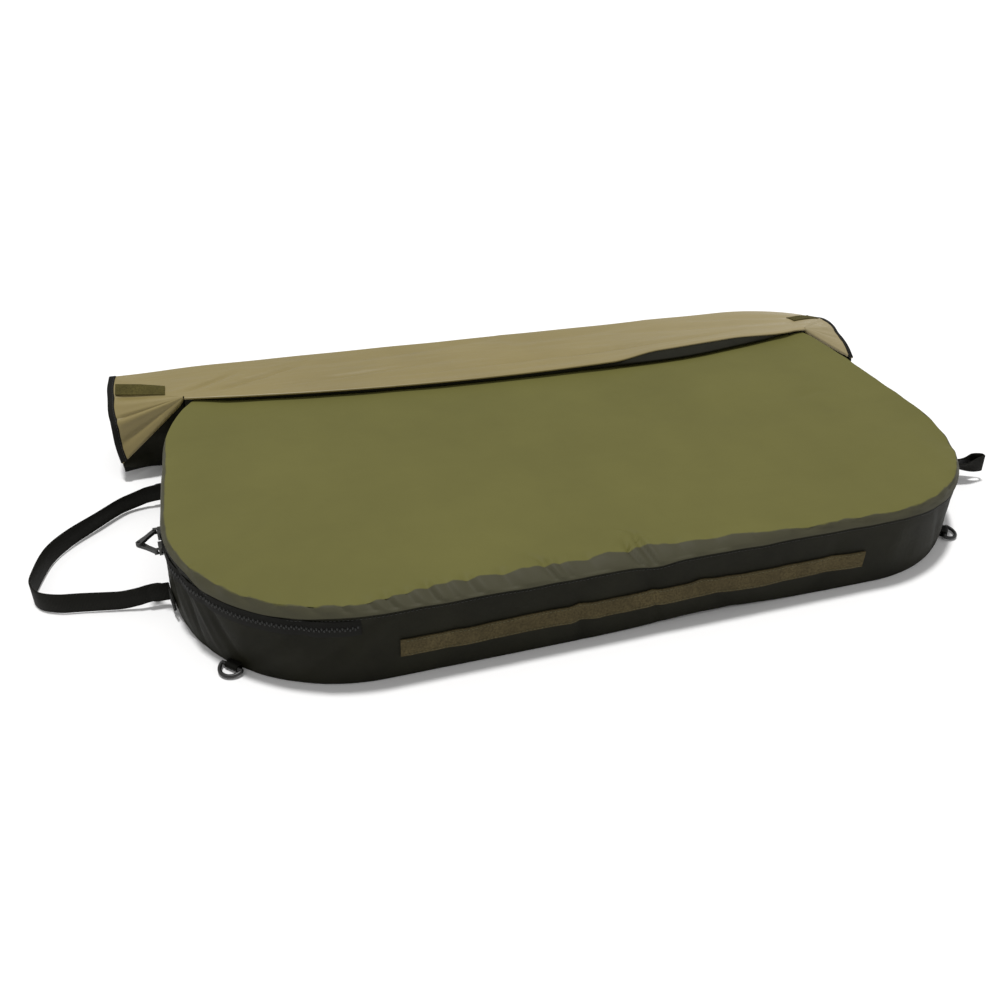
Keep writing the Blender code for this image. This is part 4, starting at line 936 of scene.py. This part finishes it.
def build_handle():
    """Loop of webbing on its edge, settling from its sewn ends on to the floor, and leaning a little."""
    route = [(HANDLE_X - sx * HANDLE_REACH, sy * HANDLE_SPAN / 2) for sx, sy in HANDLE_ROUTE]
    plan = curve_through(np.array(route), 0.0030)
    out = np.clip((HANDLE_X - plan[:, 0]) / 0.045, 0, 1)
    floor = WEB_WIDTH / 2 + 0.0007
    path = np.column_stack([plan, HANDLE_Z + (floor - HANDLE_Z) * smooth(out)])
    away = beside(path)
    share = share_of(path)
    lean = LEAN * np.sin(np.pi * share) * np.sin(2 * np.pi * share * 1.5 + 0.4)
    path[:, 2] += 0.0006 * np.abs(lean) / LEAN
    handle = tape("handle_webbing", path, UPRIGHT + away * lean[:, None], away, round_tips(path, WEB_WIDTH),
                  WEB_THICK, WEB)
    dress(handle, "carry_handle", "webbing", "carry_handle")
    radius = RADIUS + ANCHOR_OUT
    for name, sign in (("rear", 1), ("front", -1)):
        lap = sign * (HANDLE_SPAN / 2 + LAP)
        first = math.asin((abs(lap) - CORNER_Y) / radius)
        turn = np.linspace(first + ANCHOR_LENGTH / radius, first, 12)
        arc = np.column_stack([-CORNER_X - radius * np.cos(turn), sign * (CORNER_Y + radius * np.sin(turn))])
        stub = [(HANDLE_X + 0.008, lap), (HANDLE_X, lap), (HANDLE_X - 0.010, lap)]
        anchor = on_edge("handle_end_" + name, resample(np.vstack([arc, stub]), 0.0020), HANDLE_Z)
        dress(anchor, "mat", "webbing", "handle_anchor_" + name)
        middle = first + ANCHOR_LENGTH / radius / 2
        out = np.array([-math.cos(middle), sign * math.sin(middle), 0])
        centre = np.array([-CORNER_X, sign * CORNER_Y, HANDLE_Z]) + out * (radius + WEB_THICK / 2)
        box_stitch("handle_box_" + name, centre, (out[1], -out[0], 0), out, "mat")


TAB_TURN, TAB_REACH, TAB_OUT, TAB_EYE, TAB_Z = math.radians(9.5), 0.0755, 0.0170, 0.012, 0.027


def build_end_tab():
    """Folded loop of webbing over its sewn stub at the right-hand end; it twists a little outwards."""
    outward = np.array([math.cos(TAB_TURN), -math.sin(TAB_TURN)])
    aside = np.array([-outward[1], outward[0]])
    pivot = np.array([CORNER_X, -CORNER_Y]) + outward * (RADIUS + TAB_OUT)
    radius = RADIUS + ANCHOR_OUT
    turn = TAB_TURN + np.linspace(ANCHOR_LENGTH / radius, 0, 12)
    arc = np.column_stack([CORNER_X + radius * np.cos(turn), -CORNER_Y - radius * np.sin(turn)])
    plan = resample(np.vstack([arc, pivot - outward * 0.006, pivot, pivot + outward * 0.010]), 0.0020)
    dress(on_edge("tab_stub", plan, TAB_Z, side=-1), "mat", "webbing", "end_tab_anchor")
    half = [(-0.010, LAP), (0, LAP), (TAB_REACH / 5, LAP), (TAB_REACH / 3, LAP), (TAB_REACH * 0.75, TAB_EYE / 2),
            (TAB_REACH - TAB_EYE / 5, TAB_EYE / 3)]
    route = half + [(TAB_REACH, 0)] + [(a, -b) for a, b in half[::-1]]
    plan = curve_through(np.array([pivot + outward * a + aside * b for a, b in route]), 0.0015)
    path = np.column_stack([plan, np.full(len(plan), TAB_Z)])
    away = -beside(path)
    reach = (plan - pivot) @ outward / TAB_REACH
    twist = 0.10 - 1.15 * bell(reach - 0.46, 0.26)
    face = np.column_stack([np.tile(aside, (len(plan), 1)), 0 * reach])
    across = UPRIGHT + face * twist[:, None]
    middle = np.column_stack([pivot + outward * (reach * TAB_REACH)[:, None], np.full(len(plan), TAB_Z)])
    offset = path - middle
    drop = ((offset * face).sum(1) * twist)[:, None] * 0.8
    path = middle + offset * unit(across)[:, 2:] - UPRIGHT * drop
    tab = tape("tab_loop", path, across, away, round_tips(path, WEB_WIDTH), WEB_THICK, WEB)
    dress(tab, "end_tab", "webbing", "end_tab")


# D-rings

RING_WIRE, RING_REACH, RING_BAR = 0.0022, 0.0137, (0.462685, 0.237685, 0.0045)


def build_rings():
    """Each ring is a straight bar held in its tab and a half-round bow, of round wire."""
    turn = np.linspace(0, math.pi, 25)
    for end, side_x in (("left", -1), ("right", 1)):
        for face, side_y in (("front", -1), ("rear", 1)):
            out = np.array([side_x, side_y, 0]) / math.sqrt(2)
            along = np.array([-out[1], out[0], 0])
            bar = np.array([side_x, side_y, 1]) * RING_BAR
            bow = bar + RING_REACH * (np.cos(turn)[:, None] * along + np.sin(turn)[:, None] * out)
            bow[:, 2] = bar[2] + (RING_WIRE + 0.0006 - bar[2]) * np.sin(turn)
            bow = bow + 0.0008 * out * (np.sin(turn)[:, None] < 0.05)
            straight = bow[-1] + (bow[0] - bow[-1]) * np.linspace(0, 1, 12)[1:-1, None]
            ring = closed_wire("ring_" + face + "_" + end, np.vstack([bow, straight]), RING_WIRE, PLASTIC, 14)
            dress(ring, face + "_" + end + "_ring", "ring", "d_ring_" + face + "_" + end)


# Cover

FOLD_Y, RIDGE_Y, REST_Y = 0.165, 0.306, 0.2995
COVER_HALF, SHEET = 0.600, 0.0016
BIND_WIDTH, BIND_THICK, BIND_OVER, BIND_SEWN = 0.010, 0.0030, 0.001, 0.007
E_LEFT, E_RIGHT, E_Y, RIDGE_X, LIP = 0.494, 0.514, 0.200, 0.598, 0.0012
LIFT_X, LIP_LEFT, LIP_MIDDLE, LIP_RIGHT = 0.30, 0.1106, 0.1132, 0.1106
LEAF_Z, CEILING, SLANT_X, SLANT = 0.1113, 0.1125, 0.43, -0.00176
ENDS = ("left", "right")


def crease_y(x):
    """The fold on the mat's top bows back towards its ends."""
    return 0.155 + 0.045 * np.minimum(np.abs(x) / E_LEFT, 1.0) ** 2


def lip_y(x):
    """Front of the upper leaf: it is drawn back where the under layer puffs out to the right."""
    return crease_y(x) + 0.0155 * window(x, 0.14, 0.09, 0.36, 0.12)


def roll_y(x):
    """Front of the under layer's roll."""
    return crease_y(x) - 0.0085 * bell(x - 0.27, 0.11) + 0.0015


def lip_height(x):
    """Middle of the folded lip: it rises in a straight line to its highest place, and falls after."""
    rise = (x + E_LEFT) / (LIFT_X + E_LEFT)
    fall = (x - LIFT_X) / (E_RIGHT - LIFT_X)
    return np.where(x < LIFT_X, LIP_LEFT + (LIP_MIDDLE - LIP_LEFT) * rise,
                    LIP_MIDDLE + (LIP_RIGHT - LIP_MIDDLE) * fall)


def sag(x):
    """How far the ridge sinks towards its two ends."""
    return 0.66 * np.maximum(x - 0.40, 0) ** 2 + 0.0026 * smooth((-x - 0.45) / 0.15)


LEAF_CREASES = [
    ((-0.492, 0.208), (-0.330, 0.284), 0.0055, 0.0016), ((-0.472, 0.204), (-0.310, 0.276), 0.0050, -0.0038),
    ((-0.515, 0.218), (-0.430, 0.262), 0.0045, 0.0012), ((-0.500, 0.214), (-0.410, 0.272), 0.0045, -0.0032),
    ((-0.440, 0.200), (-0.080, 0.232), 0.0065, -0.0030), ((-0.500, 0.202), (-0.150, 0.212), 0.0060, 0.0012),
    ((-0.300, 0.262), (0.000, 0.294), 0.0090, -0.0034), ((-0.220, 0.196), (0.160, 0.204), 0.0060, -0.0028),
    ((-0.100, 0.240), (0.120, 0.262), 0.0110, 0.0012), ((0.060, 0.196), (0.420, 0.222), 0.0045, -0.0040),
    ((0.160, 0.222), (0.500, 0.232), 0.0090, 0.0014), ((0.180, 0.262), (0.520, 0.244), 0.0100, -0.0042),
    ((0.000, 0.262), (0.260, 0.290), 0.0120, -0.0036), ((0.330, 0.284), (0.560, 0.264), 0.0080, -0.0034)]


def leaf_height(x, y):
    """Height of the upper leaf over a plan point, kept low enough to clear the mat when the cover is closed.

    Above the ceiling c, the height z becomes z - (d + sqrt(d^2 + s^2)) / 2 with d = z - c.
    """
    front = lip_y(np.clip(x, -E_LEFT, E_RIGHT))
    v = np.clip((y - front) / (REST_Y - front), 0, 1)
    z = LEAF_Z + 0.0006 * np.sin(np.pi * v) + 0.0022 * window(x, 0.02, 0.16, 0.36, 0.12) * (1 - v) ** 2
    room = smooth((v - 0.08) / 0.2)
    z = z + room * 0.0006 * ripple(x, y, 31, 0.20)
    for a, b, w, h in LEAF_CREASES:
        z = z + room * crease(x, y, a, b, w, h)
    over = z - (CEILING + 0.0014 * (1 - smooth(v / 0.12)))
    z = z - (over + np.sqrt(over ** 2 + 0.0005 ** 2)) / 2
    return z - sag(x) * v


NX = 400
U = np.linspace(-1, 1, NX)


def across(left, right):
    """Places across the cover from a left end to a right end."""
    return (left + right) / 2 + U * (right - left) / 2


def half_width(s):
    """Half the width of the cover, at a distance down it from the fold: round at its far corners."""
    past = np.maximum(s - FOLD_Y - CORNER_Y, 0)
    round_radius = COVER_HALF - CORNER_X
    return CORNER_X + np.sqrt(round_radius ** 2 - past ** 2)


FLOOR_Z, STACK_Z, BACK_Y, FOOT, DROP_Y = 0.0017, 0.0057, 0.4668, 0.0036, 0.407
FLOOR_START, BEHIND_Y, HANG_Y, SIDE_IN, LEVEL_Y, PUFF = 0.2495, 0.307, 0.3068, 0.002, 0.28, 0.0012
SKIN, LAY, ROLL_ROUND, LIP_DEPTH, RIDGE_ROUND, TURN_DEPTH = 0.0014, 0.0018, 0.002, 0.003, 0.0075, 0.0022
MARKS = {}


def cover_grid():
    """Middle surface of the whole cover as columns of points from the rear seam to the stack's front.

    In order: under layer up over the rolled edge, forward to its roll, back up to the lip, back along
    the upper leaf, over the ridge, down behind the mat, out along the floor, and back over itself.
    """
    rows = []

    def row(*place):
        rows.append(np.broadcast_arrays(*place))

    x = across(-E_LEFT, E_RIGHT)
    front, roll, lip = lip_y(x), roll_y(x) + ROLL_ROUND, lip_height(x)
    past = np.maximum(np.abs(x) - CORNER_X, 0)
    for turn in np.linspace(0, math.pi / 2, 9):
        reach = RADIUS + SKIN - (ROLL + SKIN) * (1 - math.cos(turn))
        y = np.maximum(CORNER_Y + np.sqrt(np.maximum(reach ** 2 - past ** 2, 1e-6)), front + 0.004)
        row(*(pull(np.stack([x, y, mat_height(x, y)], -1)).T + [[0], [0], [LAY]]))
    sides, back, _ = rows[-1]
    for share in np.linspace(0, 1, 12)[1:]:
        y = back + (roll - back) * share
        row(sides + (x - sides) * share, y, mat_height(x, np.minimum(y, LEVEL_Y)) + LAY)
    rest = rows[-1][2]
    for turn in np.radians([30, 60, 90, 120]):
        row(x, roll - ROLL_ROUND * math.sin(turn), rest + ROLL_ROUND * (1 - math.cos(turn)))
    _, low_y, low_z = rows[-1]
    for share in (0.25, 0.5, 0.75, 1.0):
        y = low_y + (front + LIP_DEPTH - low_y) * share
        row(x, y, low_z + (lip - LIP - low_z) * share + PUFF * math.sin(math.pi * share))
    MARKS["under"] = len(rows)
    for turn in np.radians([25, 45, 62, 118, 135, 155, 180]):
        row(x, front + LIP_DEPTH - (LIP_DEPTH + LIP) * math.sin(turn), lip - LIP * math.cos(turn))
    MARKS["lip"] = len(rows)
    MARKS["crease"] = MARKS["lip"] + 1
    for v in np.linspace(0, 1, 34)[1:]:
        px = across(-(E_LEFT + (RIDGE_X - E_LEFT) * v), E_RIGHT + (RIDGE_X - E_RIGHT) * v)
        py = front + (REST_Y - front) * v
        join = smooth(v / 0.16)
        row(px, py + LIP_DEPTH * (1 - join) * (1 - v), leaf_height(px, py) * join + (lip + LIP) * (1 - join))
    MARKS["ridge"] = len(rows)
    x = U * RIDGE_X
    top = leaf_height(x, REST_Y)
    for turn in np.linspace(0, math.pi / 2, 8)[1:]:
        row(x, REST_Y + RIDGE_ROUND * math.sin(turn), top - RIDGE_ROUND * (1 - math.cos(turn)))
    head, foot = rows[-1][2], FLOOR_Z + FOOT
    for share in np.linspace(0, 1, 22)[1:]:
        z = head + (foot - head) * share
        px = U * (RIDGE_X + (COVER_HALF - SIDE_IN - RIDGE_X) * share)
        fade = math.sin(math.pi * min(share * 1.02, 1))
        hang = -fade * (0.0011 * (1 - np.cos(2 * np.pi * (px + COVER_HALF) / 0.15)) / 2
                        + 0.0015 * np.abs(ripple(px * 1.4, z * 0.5, 44, 0.20)))
        row(px, HANG_Y + hang, z)
        if share < 0.8:
            MARKS["drop"] = len(rows)
    px = U * (half_width(FLOOR_START) - SIDE_IN)
    for turn in np.linspace(0, math.pi / 2, 7)[1:]:
        row(px, BEHIND_Y + FOOT * (1 - math.cos(turn)), foot - FOOT * math.sin(turn))
    begin, end = BEHIND_Y + FOOT, BACK_Y - TURN_DEPTH
    for share in np.linspace(0, 1, 20)[1:]:
        y = begin + (end - begin) * share
        px = U * (half_width(FLOOR_START + y - RIDGE_Y) - SIDE_IN)
        row(px, y, FLOOR_Z + np.abs(0.0003 * ripple(px, y, 51, 0.12) * math.sin(math.pi * share)))
        if share < 0.25:
            MARKS["foot"] = len(rows)
    MARKS["back"] = len(rows)
    middle, radius = (FLOOR_Z + STACK_Z) / 2, (STACK_Z - FLOOR_Z) / 2
    px = U * (half_width(FLOOR_START + BACK_Y - RIDGE_Y) - SIDE_IN)
    for turn in np.radians([25, 50, 70, 110, 130, 155, 180]):
        row(px, end + TURN_DEPTH * math.sin(turn), middle - radius * math.cos(turn))
    MARKS["turn"] = len(rows)
    for share in np.linspace(0, 1, 10)[1:]:
        y = end + (DROP_Y - end) * share
        px = U * (half_width(FLOOR_START + 2 * BACK_Y - RIDGE_Y - y) - SIDE_IN)
        row(px, y, STACK_Z + 0.0004 * ripple(px, y, 57, 0.10) * math.sin(math.pi * share))
        if share < 0.75:
            MARKS["stack"] = len(rows)
    return np.stack([np.stack(r, -1) for r in rows], 1)


def bind(tape_name, sewn_name, line, inward, normal, follow, *nodes):
    """Binding tape folded over an edge line, reaching in over both faces, and its stitches."""
    made = tape(tape_name, line + inward * (BIND_WIDTH / 2 - BIND_OVER), inward, normal, BIND_WIDTH, BIND_THICK,
                BIND)
    dress(made, follow, "binding", *nodes)
    sewn = stitches(sewn_name, line + inward * BIND_SEWN + normal * BIND_THICK / 2, normal, THREAD_BLACK)
    return [made, dress(sewn, follow, "binding")]


def bound_edge(name, grid, normals, edge, follow, *nodes):
    """Binding along an edge of a grid."""
    line, inner, n = {
        "left": (grid[0], grid[1], normals[0]), "right": (grid[-1], grid[-2], normals[-1]),
        "foot": (grid[:, -1], grid[:, -2], normals[:, -1])}[edge]
    inward = square_to(unit(inner - line), unit(np.gradient(line, axis=0)))
    return bind(name, name + "_stitches", line, inward, n, follow, *nodes)


def bend():
    """How a piece is placed that lies between two bodies: its place is baked into its mesh, and it follows
    neither.
    """
    return lambda piece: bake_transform(piece)


def cover_cloth(name, grid, normals, follow, *nodes):
    """Cloth of the cover: khaki on its inner face, black on its outer one."""
    piece = cloth(name, grid, SHEET, KHAKI, normals, True, BLACK)
    return dress(piece, follow, "cover", *nodes)


def build_cover():
    """Cloths of the cover with their bindings; gives back both end edges of the leaf and their normals."""
    grid = cover_grid()
    normals = grid_normals(grid)
    first, crease_end, drop, foot, stack = (MARKS[k] for k in ("under", "crease", "drop", "foot", "stack"))
    # The under layer is all black: a dark sheet standing in for the deep shade in the gap under the folded lip.
    under = cloth("cover_under", grid[:, :first], SHEET, BLACK, normals[:, :first], True)
    dress(under, "mat", "cover", "cover_under_layer")
    split = int(np.searchsorted(grid[:, first, 0], LIFT_X))
    for name, part, slope in (
            ("left", slice(0, split + 1), (LIP_MIDDLE - LIP_LEFT) / (LIFT_X + E_LEFT)),
            ("right", slice(split, NX), (LIP_RIGHT - LIP_MIDDLE) / (E_RIGHT - LIFT_X))):
        area = part, slice(first - 1, crease_end)
        piece = cover_cloth("cover_fold_" + name, grid[area], normals[area],
                            bend())
    split = int(np.searchsorted(U * RIDGE_X, SLANT_X))
    ridge = slice(MARKS["ridge"] - 1, drop)
    for name, edge, part, place, lean, nodes in (
            ("", "left", slice(0, split + 1), 0.0, 0.0, ("cover_fold_panel", "cover_rear_drop")),
            ("_right", "right", slice(split, NX), SLANT_X, SLANT, ())):
        follow = bend()
        area = part, slice(crease_end - 1, drop)
        piece = cover_cloth("cover_back" + name, grid[area], normals[area], follow, *nodes)
        bound = bound_edge("drop_binding_" + edge, grid[:, ridge], normals[:, ridge], edge, follow,
                           "rear_binding_" + edge)
    area = slice(None), slice(drop - 1, foot)
    follow = bend()
    piece, pieces = cover_cloth("cover_foot", grid[area], normals[area], follow), []
    for edge in ENDS:
        pieces += bound_edge("foot_binding_" + edge, grid[area], normals[area], edge, follow)
    area = slice(None), slice(foot - 1, stack)
    follow = bend()
    piece, pieces = cover_cloth("cover_stack", grid[area], normals[area], follow, "cover_floor_panel"), []
    turned, flat = slice(MARKS["turn"] - 1, stack), slice(foot - 1, MARKS["back"])
    for edge in ENDS:
        pieces += bound_edge("stack_binding_" + edge, grid[:, turned], normals[:, turned], edge,
                             "cover_return_leaf")
        pieces += bound_edge("floor_binding_" + edge + "_tape", grid[:, flat], normals[:, flat], edge,
                             "cover_floor_leaf", "floor_binding_" + edge)
    build_front_drop(grid[:, stack - 1:], normals[:, stack - 1:])
    leaf = slice(MARKS["lip"] - 1, MARKS["ridge"])
    return {-1: (grid[0, leaf], normals[0, leaf]), 1: (grid[-1, leaf], normals[-1, leaf])}


def build_front_drop(area, normals):
    """Front of the stack: the last of the return leaf, and the narrow drop sewn on in line with it."""
    piece = cover_cloth("cover_return_end", area, normals, "cover_return_leaf", "cover_return_panel")
    pieces = []
    for edge in ENDS:
        pieces += bound_edge("return_end_binding_" + edge, area, normals, edge, "cover_return_leaf",
                             "return_binding_" + edge)
    y = np.linspace(DROP_Y + 0.004, 0.323, 24)[None]
    px, py = np.broadcast_arrays((CORNER_X - SIDE_IN) * np.linspace(-1, 1, 100)[:, None], y)
    grid = np.stack([px, py, STACK_Z + 0.0002 + 0.0004 * ripple(px, py, 63, 0.09)], -1)
    n = grid_normals(grid)
    piece = cloth("front_drop", grid, SHEET, KHAKI, n, reverse=BLACK)
    follow = bend()
    dress(piece, follow, "cover", "cover_front_drop")
    pieces = bound_edge("front_drop_binding_left", grid, facing_up(n), "left", follow, "front_drop_binding")
    for edge in ("right", "foot"):
        pieces += bound_edge("front_drop_binding_" + edge, grid, facing_up(n), edge, follow)


RIM = {
    -1: [(-0.5998, 0.2727, 0.1035), (-0.5987, 0.2445, 0.0965), (-0.5980, 0.2236, 0.0880),
         (-0.5952, 0.2063, 0.0760), (-0.5939, 0.1975, 0.0500), (-0.5891, 0.1861, 0.0280)],
    1: [(0.6000, 0.2645, 0.0950), (0.6010, 0.2405, 0.0930), (0.6010, 0.2220, 0.0855),
        (0.6010, 0.2045, 0.0810), (0.6010, 0.1870, 0.0722), (0.6010, 0.1720, 0.0610)]}
RIM_FOLDS = {-1: [(0.30, 0.050, -0.0024), (0.44, 0.050, 0.0014), (0.60, 0.022, -0.0036), (0.66, 0.040, 0.0012),
                  (0.86, 0.040, -0.0022)],
             1: [(0.30, 0.060, -0.0018), (0.50, 0.060, 0.0014), (0.72, 0.050, -0.0020)]}
W = np.linspace(0.016, 1, 54)
END_NAMES = dict(zip((-1, 1), ENDS))


def corner_cone(side, edge):
    """Corner of the leaf as a cone: straight lines from the fold's end to the rim's route.

    Its first line is the leaf's own edge; past it the leaf's unevenness dies away.
    """
    rim = curve_through(np.vstack([edge[-1:], RIM[side]]), 0.0022)
    t = np.linspace(0, 1, len(rim))
    uneven = sample(edge, W, share_of(edge)) - (edge[0] + (edge[-1] - edge[0]) * W[:, None])
    cone = edge[0] + (rim[:, None] - edge[0]) * W[None, :, None]
    return rim, t, cone + uneven[None] * (1 - smooth(t / 0.4))[:, None, None], uneven


def cover_height(x, y, side, edge):
    """Height of the leaf or of its corner's cone over a plan point."""
    rim, t, _, uneven = corner_cone(side, edge)
    turn = np.arctan2(y - edge[0, 1], side * (x - edge[0, 0]))
    turns = np.arctan2(rim[:, 1] - edge[0, 1], side * (rim[:, 0] - edge[0, 0]))
    at = np.interp(turn, turns[::-1], t[::-1])
    qx, qy, qz = (np.interp(at, t, rim[:, i]) for i in range(3))
    w = np.hypot(x - edge[0, 0], y - edge[0, 1]) / np.hypot(qx - edge[0, 0], qy - edge[0, 1])
    cone = edge[0, 2] + w * (qz - edge[0, 2]) + np.interp(w, W, uneven[:, 2]) * (1 - smooth(at / 0.4))
    return np.where(turn > turns[0], leaf_height(x, y), cone)


def build_corner(side, edge, edge_normals):
    """Drooping corner of the upper leaf, its slanting edge rolled under, and its binding.

    It gives back that slanting edge, which the under layer hangs from.
    """
    name = END_NAMES[side]
    _, t, cone, _ = corner_cone(side, edge)
    n = facing_up(grid_normals(cone))
    for place, width, height in RIM_FOLDS[side]:
        grown = smooth(W * 1.2) * (1 - 0.8 * smooth((W - 0.80) / 0.18))
        cone = cone + n * (height * bell(t - place, width)[:, None] * grown[None])[..., None]
    grid = cone[::-1]
    n = grid_normals(grid)
    if n[..., 2].mean() < 0:
        n = -n
    away = unit(np.cross(unit(np.gradient(grid[0], axis=0)), n[0]))
    away = np.where((away * (grid[3] - grid[0])).sum(1, keepdims=True) > 0, -away, away)
    radius = (0.0008 + 0.0030 * (1 - W) ** 0.6 * smooth(W * 8))[:, None]
    rows = [grid[0] - away * (0.0005 + 0.036 * (W * (1 - W))[:, None]) - n[0] * 2 * radius]
    for turn in np.linspace(math.pi, 0, 9)[:-1]:
        rows.append(grid[0] + away * radius * math.sin(turn) - n[0] * radius * (1 - math.cos(turn)))
    whole = np.concatenate([np.stack(rows, 0), grid], 0)
    shared = unit(sample(edge_normals, W, share_of(edge)))
    normals = grid_normals(whole)
    if normals[len(rows) + 5:, :, 2].mean() < 0:
        whole, shared = whole[:, ::-1], shared[::-1]
        normals = grid_normals(whole)
    joined = (1 - smooth(t[::-1] / 0.10))[:, None, None]
    normals[len(rows):] = unit(normals[len(rows):] * (1 - joined) + shared[None] * joined)
    piece = cloth("cover_corner_" + name, whole, SHEET, KHAKI, normals, True, BLACK)

    def follow(made):
        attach(made, "cover_fold_leaf")
        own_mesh(made)

    dress(piece, follow, "cover", "fold_corner_" + name)
    line = grid[:, -1]
    path = resample(line, 0.003)
    at, old = np.linspace(0, 1, len(path)), share_of(line)
    normal = unit(sample(n[:, -2], at, old))
    inward = unit(sample(unit(grid[:, -4] - line), at, old))
    inward = square_to(inward, unit(np.gradient(path, axis=0)))
    bound = bind("corner_tape_" + name, "corner_stitches_" + name, path, inward, normal, follow,
                 "corner_binding_" + name, "fold_binding_" + name)
    return grid[0]


def build_curtain(side, edge):
    """Under layer below the corner: from its slanting edge down to the floor beside the wall."""
    name = END_NAMES[side]
    a, b = np.linspace(0, 1, 46), np.linspace(0, 1, 30)
    top = sample(edge, 0.02 + 0.97 * a, np.linspace(0, 1, len(edge)))
    top = top + np.array([0, 1, 0]) * 0.004 - UPRIGHT * (0.0020 + 0.0040 * (1 - a))[:, None]
    tip = np.array(RIM[side][-1])
    wall = side * (CORNER_X + math.sqrt(RADIUS ** 2 - (E_Y - CORNER_Y) ** 2) + 0.002)
    foot_x = wall + (tip[0] - side * 0.002 - wall) * a
    foot_y = E_Y + 0.004 + 0.007 * np.sin(np.pi * a) + (tip[1] + 0.002 - E_Y - 0.004) * smooth((a - 0.6) / 0.4)
    foot_z = 0.0030 + max(tip[2] - 0.018, 0.001) * smooth((a - 0.45) / 0.55) ** 1.4
    foot = np.column_stack([foot_x, foot_y, foot_z])
    top[:, 0] = side * np.maximum(side * top[:, 0], abs(wall))
    grid = top[:, None] + (foot - top)[:, None] * b[None, :, None]
    fold = np.sin(np.pi * b)[None] * (0.0045 * np.sin(2 * np.pi * (1.6 * a[:, None] + 0.5 * b[None]) + 0.6))
    grid[..., 1] += fold * smooth(a * 4)[:, None]
    if side > 0:
        grid = grid[:, ::-1]
    n = grid_normals(grid)

    def follow(made):
        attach(made, "mat")
        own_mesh(made)

    piece = cloth("under_curtain_cloth_" + name, grid, SHEET, BLACK, n)
    dress(piece, follow, "black_fabric", "under_curtain_" + name)
    foot_column = -1 if side < 0 else 0
    bound = tape("curtain_tape_" + name, grid[:, foot_column] + UPRIGHT * (BIND_WIDTH / 2 - 0.0012), UPRIGHT,
                 n[:, foot_column], BIND_WIDTH, BIND_THICK, BIND)
    dress(bound, follow, "binding", "curtain_binding_" + name)


BAR_THICK, BAR_OVER = 0.0012, 0.0018
BARS = {-1: ((-0.589, 0.276), (-0.520, 0.243), (-0.520, 0.218), (-0.589, 0.252)),
        1: ((0.519, 0.264), (0.586, 0.285), (0.586, 0.262), (0.519, 0.240))}


def build_hook_bar(side, edge):
    """Short hook tape sewn across the corner's fold, lying on its surface between four plan corners."""
    name = END_NAMES[side]
    a, b, c, d = (np.array(p) for p in BARS[side])
    u, v = np.linspace(0, 1, 40)[:, None, None], np.linspace(0, 1, 14)[None, :, None]
    plan = (a + (b - a) * u) * (1 - v) + (d + (c - d) * u) * v
    z = cover_height(plan[..., 0], plan[..., 1], side, edge) + BAR_OVER
    bar = cloth("hook_tape_" + name, np.concatenate([plan, z[..., None]], -1), BAR_THICK, HOOK)
    dress(bar, "cover_fold_leaf", "hook_tape", "hook_bar_" + name)
    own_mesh(bar)


# Pieces kept from the frame

def dress_frame():
    """Finishes of the pieces that are kept from the frame."""
    finish = {"d_ring_tab": WEB, "zip_slider": METAL, "zip_pull": RUBBER, "front_hook_strip": HOOK}
    for node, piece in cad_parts.items():
        for word, surface in finish.items():
            if node.startswith(word):
                piece.data.materials.clear()
                piece.data.materials.append(surface)


# Stage

FLOOR_HALF, WORLD_LIGHT, SUN_LIGHT = 20.0, 0.52, 2.35


def lamp(name, kind, energy, aim, place, **settings):
    """Lamp at a place, turned towards its aim."""
    data = bpy.data.lights.new(name, kind)
    data.energy = energy
    for key, value in settings.items():
        setattr(data, key, value)
    made = bpy.data.objects.new(name, data)
    made.location = place
    made.rotation_euler = (Vector(aim) - Vector(place)).to_track_quat("-Z", "Y").to_euler()
    bpy.context.scene.collection.objects.link(made)


def build_stage():
    """White floor and even white light: a world that looks full white to the camera, and one soft sun."""
    corners = [(x * FLOOR_HALF, y * FLOOR_HALF, -0.0004) for x, y in ((-1, -1), (1, -1), (1, 1), (-1, 1))]
    white, _, node = shader("white_floor", (0.93, 0.925, 0.92), 0.9)
    node.inputs["Specular IOR Level"].default_value = 0.1
    add_mesh("floor", corners, [(0, 1, 2, 3)], white, sharp=None)
    world = bpy.data.worlds.new("studio")
    bpy.context.scene.world = world
    world.use_nodes = True
    back = world.node_tree.nodes["Background"]
    back.inputs["Color"].default_value = (1, 1, 1, 1)
    seen = world.node_tree.nodes.new("ShaderNodeLightPath")
    level = world.node_tree.nodes.new("ShaderNodeMapRange")
    level.inputs["To Min"].default_value, level.inputs["To Max"].default_value = WORLD_LIGHT, 1.0
    world.node_tree.links.new(seen.outputs["Is Camera Ray"], level.inputs["Value"])
    world.node_tree.links.new(level.outputs["Result"], back.inputs["Strength"])
    lamp("overhead", "SUN", SUN_LIGHT, (0, 0, 0), (-0.06, 0.14, 1.0), angle=math.radians(6))
    bpy.context.scene.view_settings.view_transform = "Standard"


make_camera()
build_top()
build_wall()
build_foam()
build_front_strip()
build_seam()
build_zip()
build_handle()
build_end_tab()
build_rings()
leaf_edges = build_cover()
for end in (-1, 1):
    build_curtain(end, build_corner(end, *leaf_edges[end]))
    build_hook_bar(end, leaf_edges[end][0])
dress_frame()
build_stage()
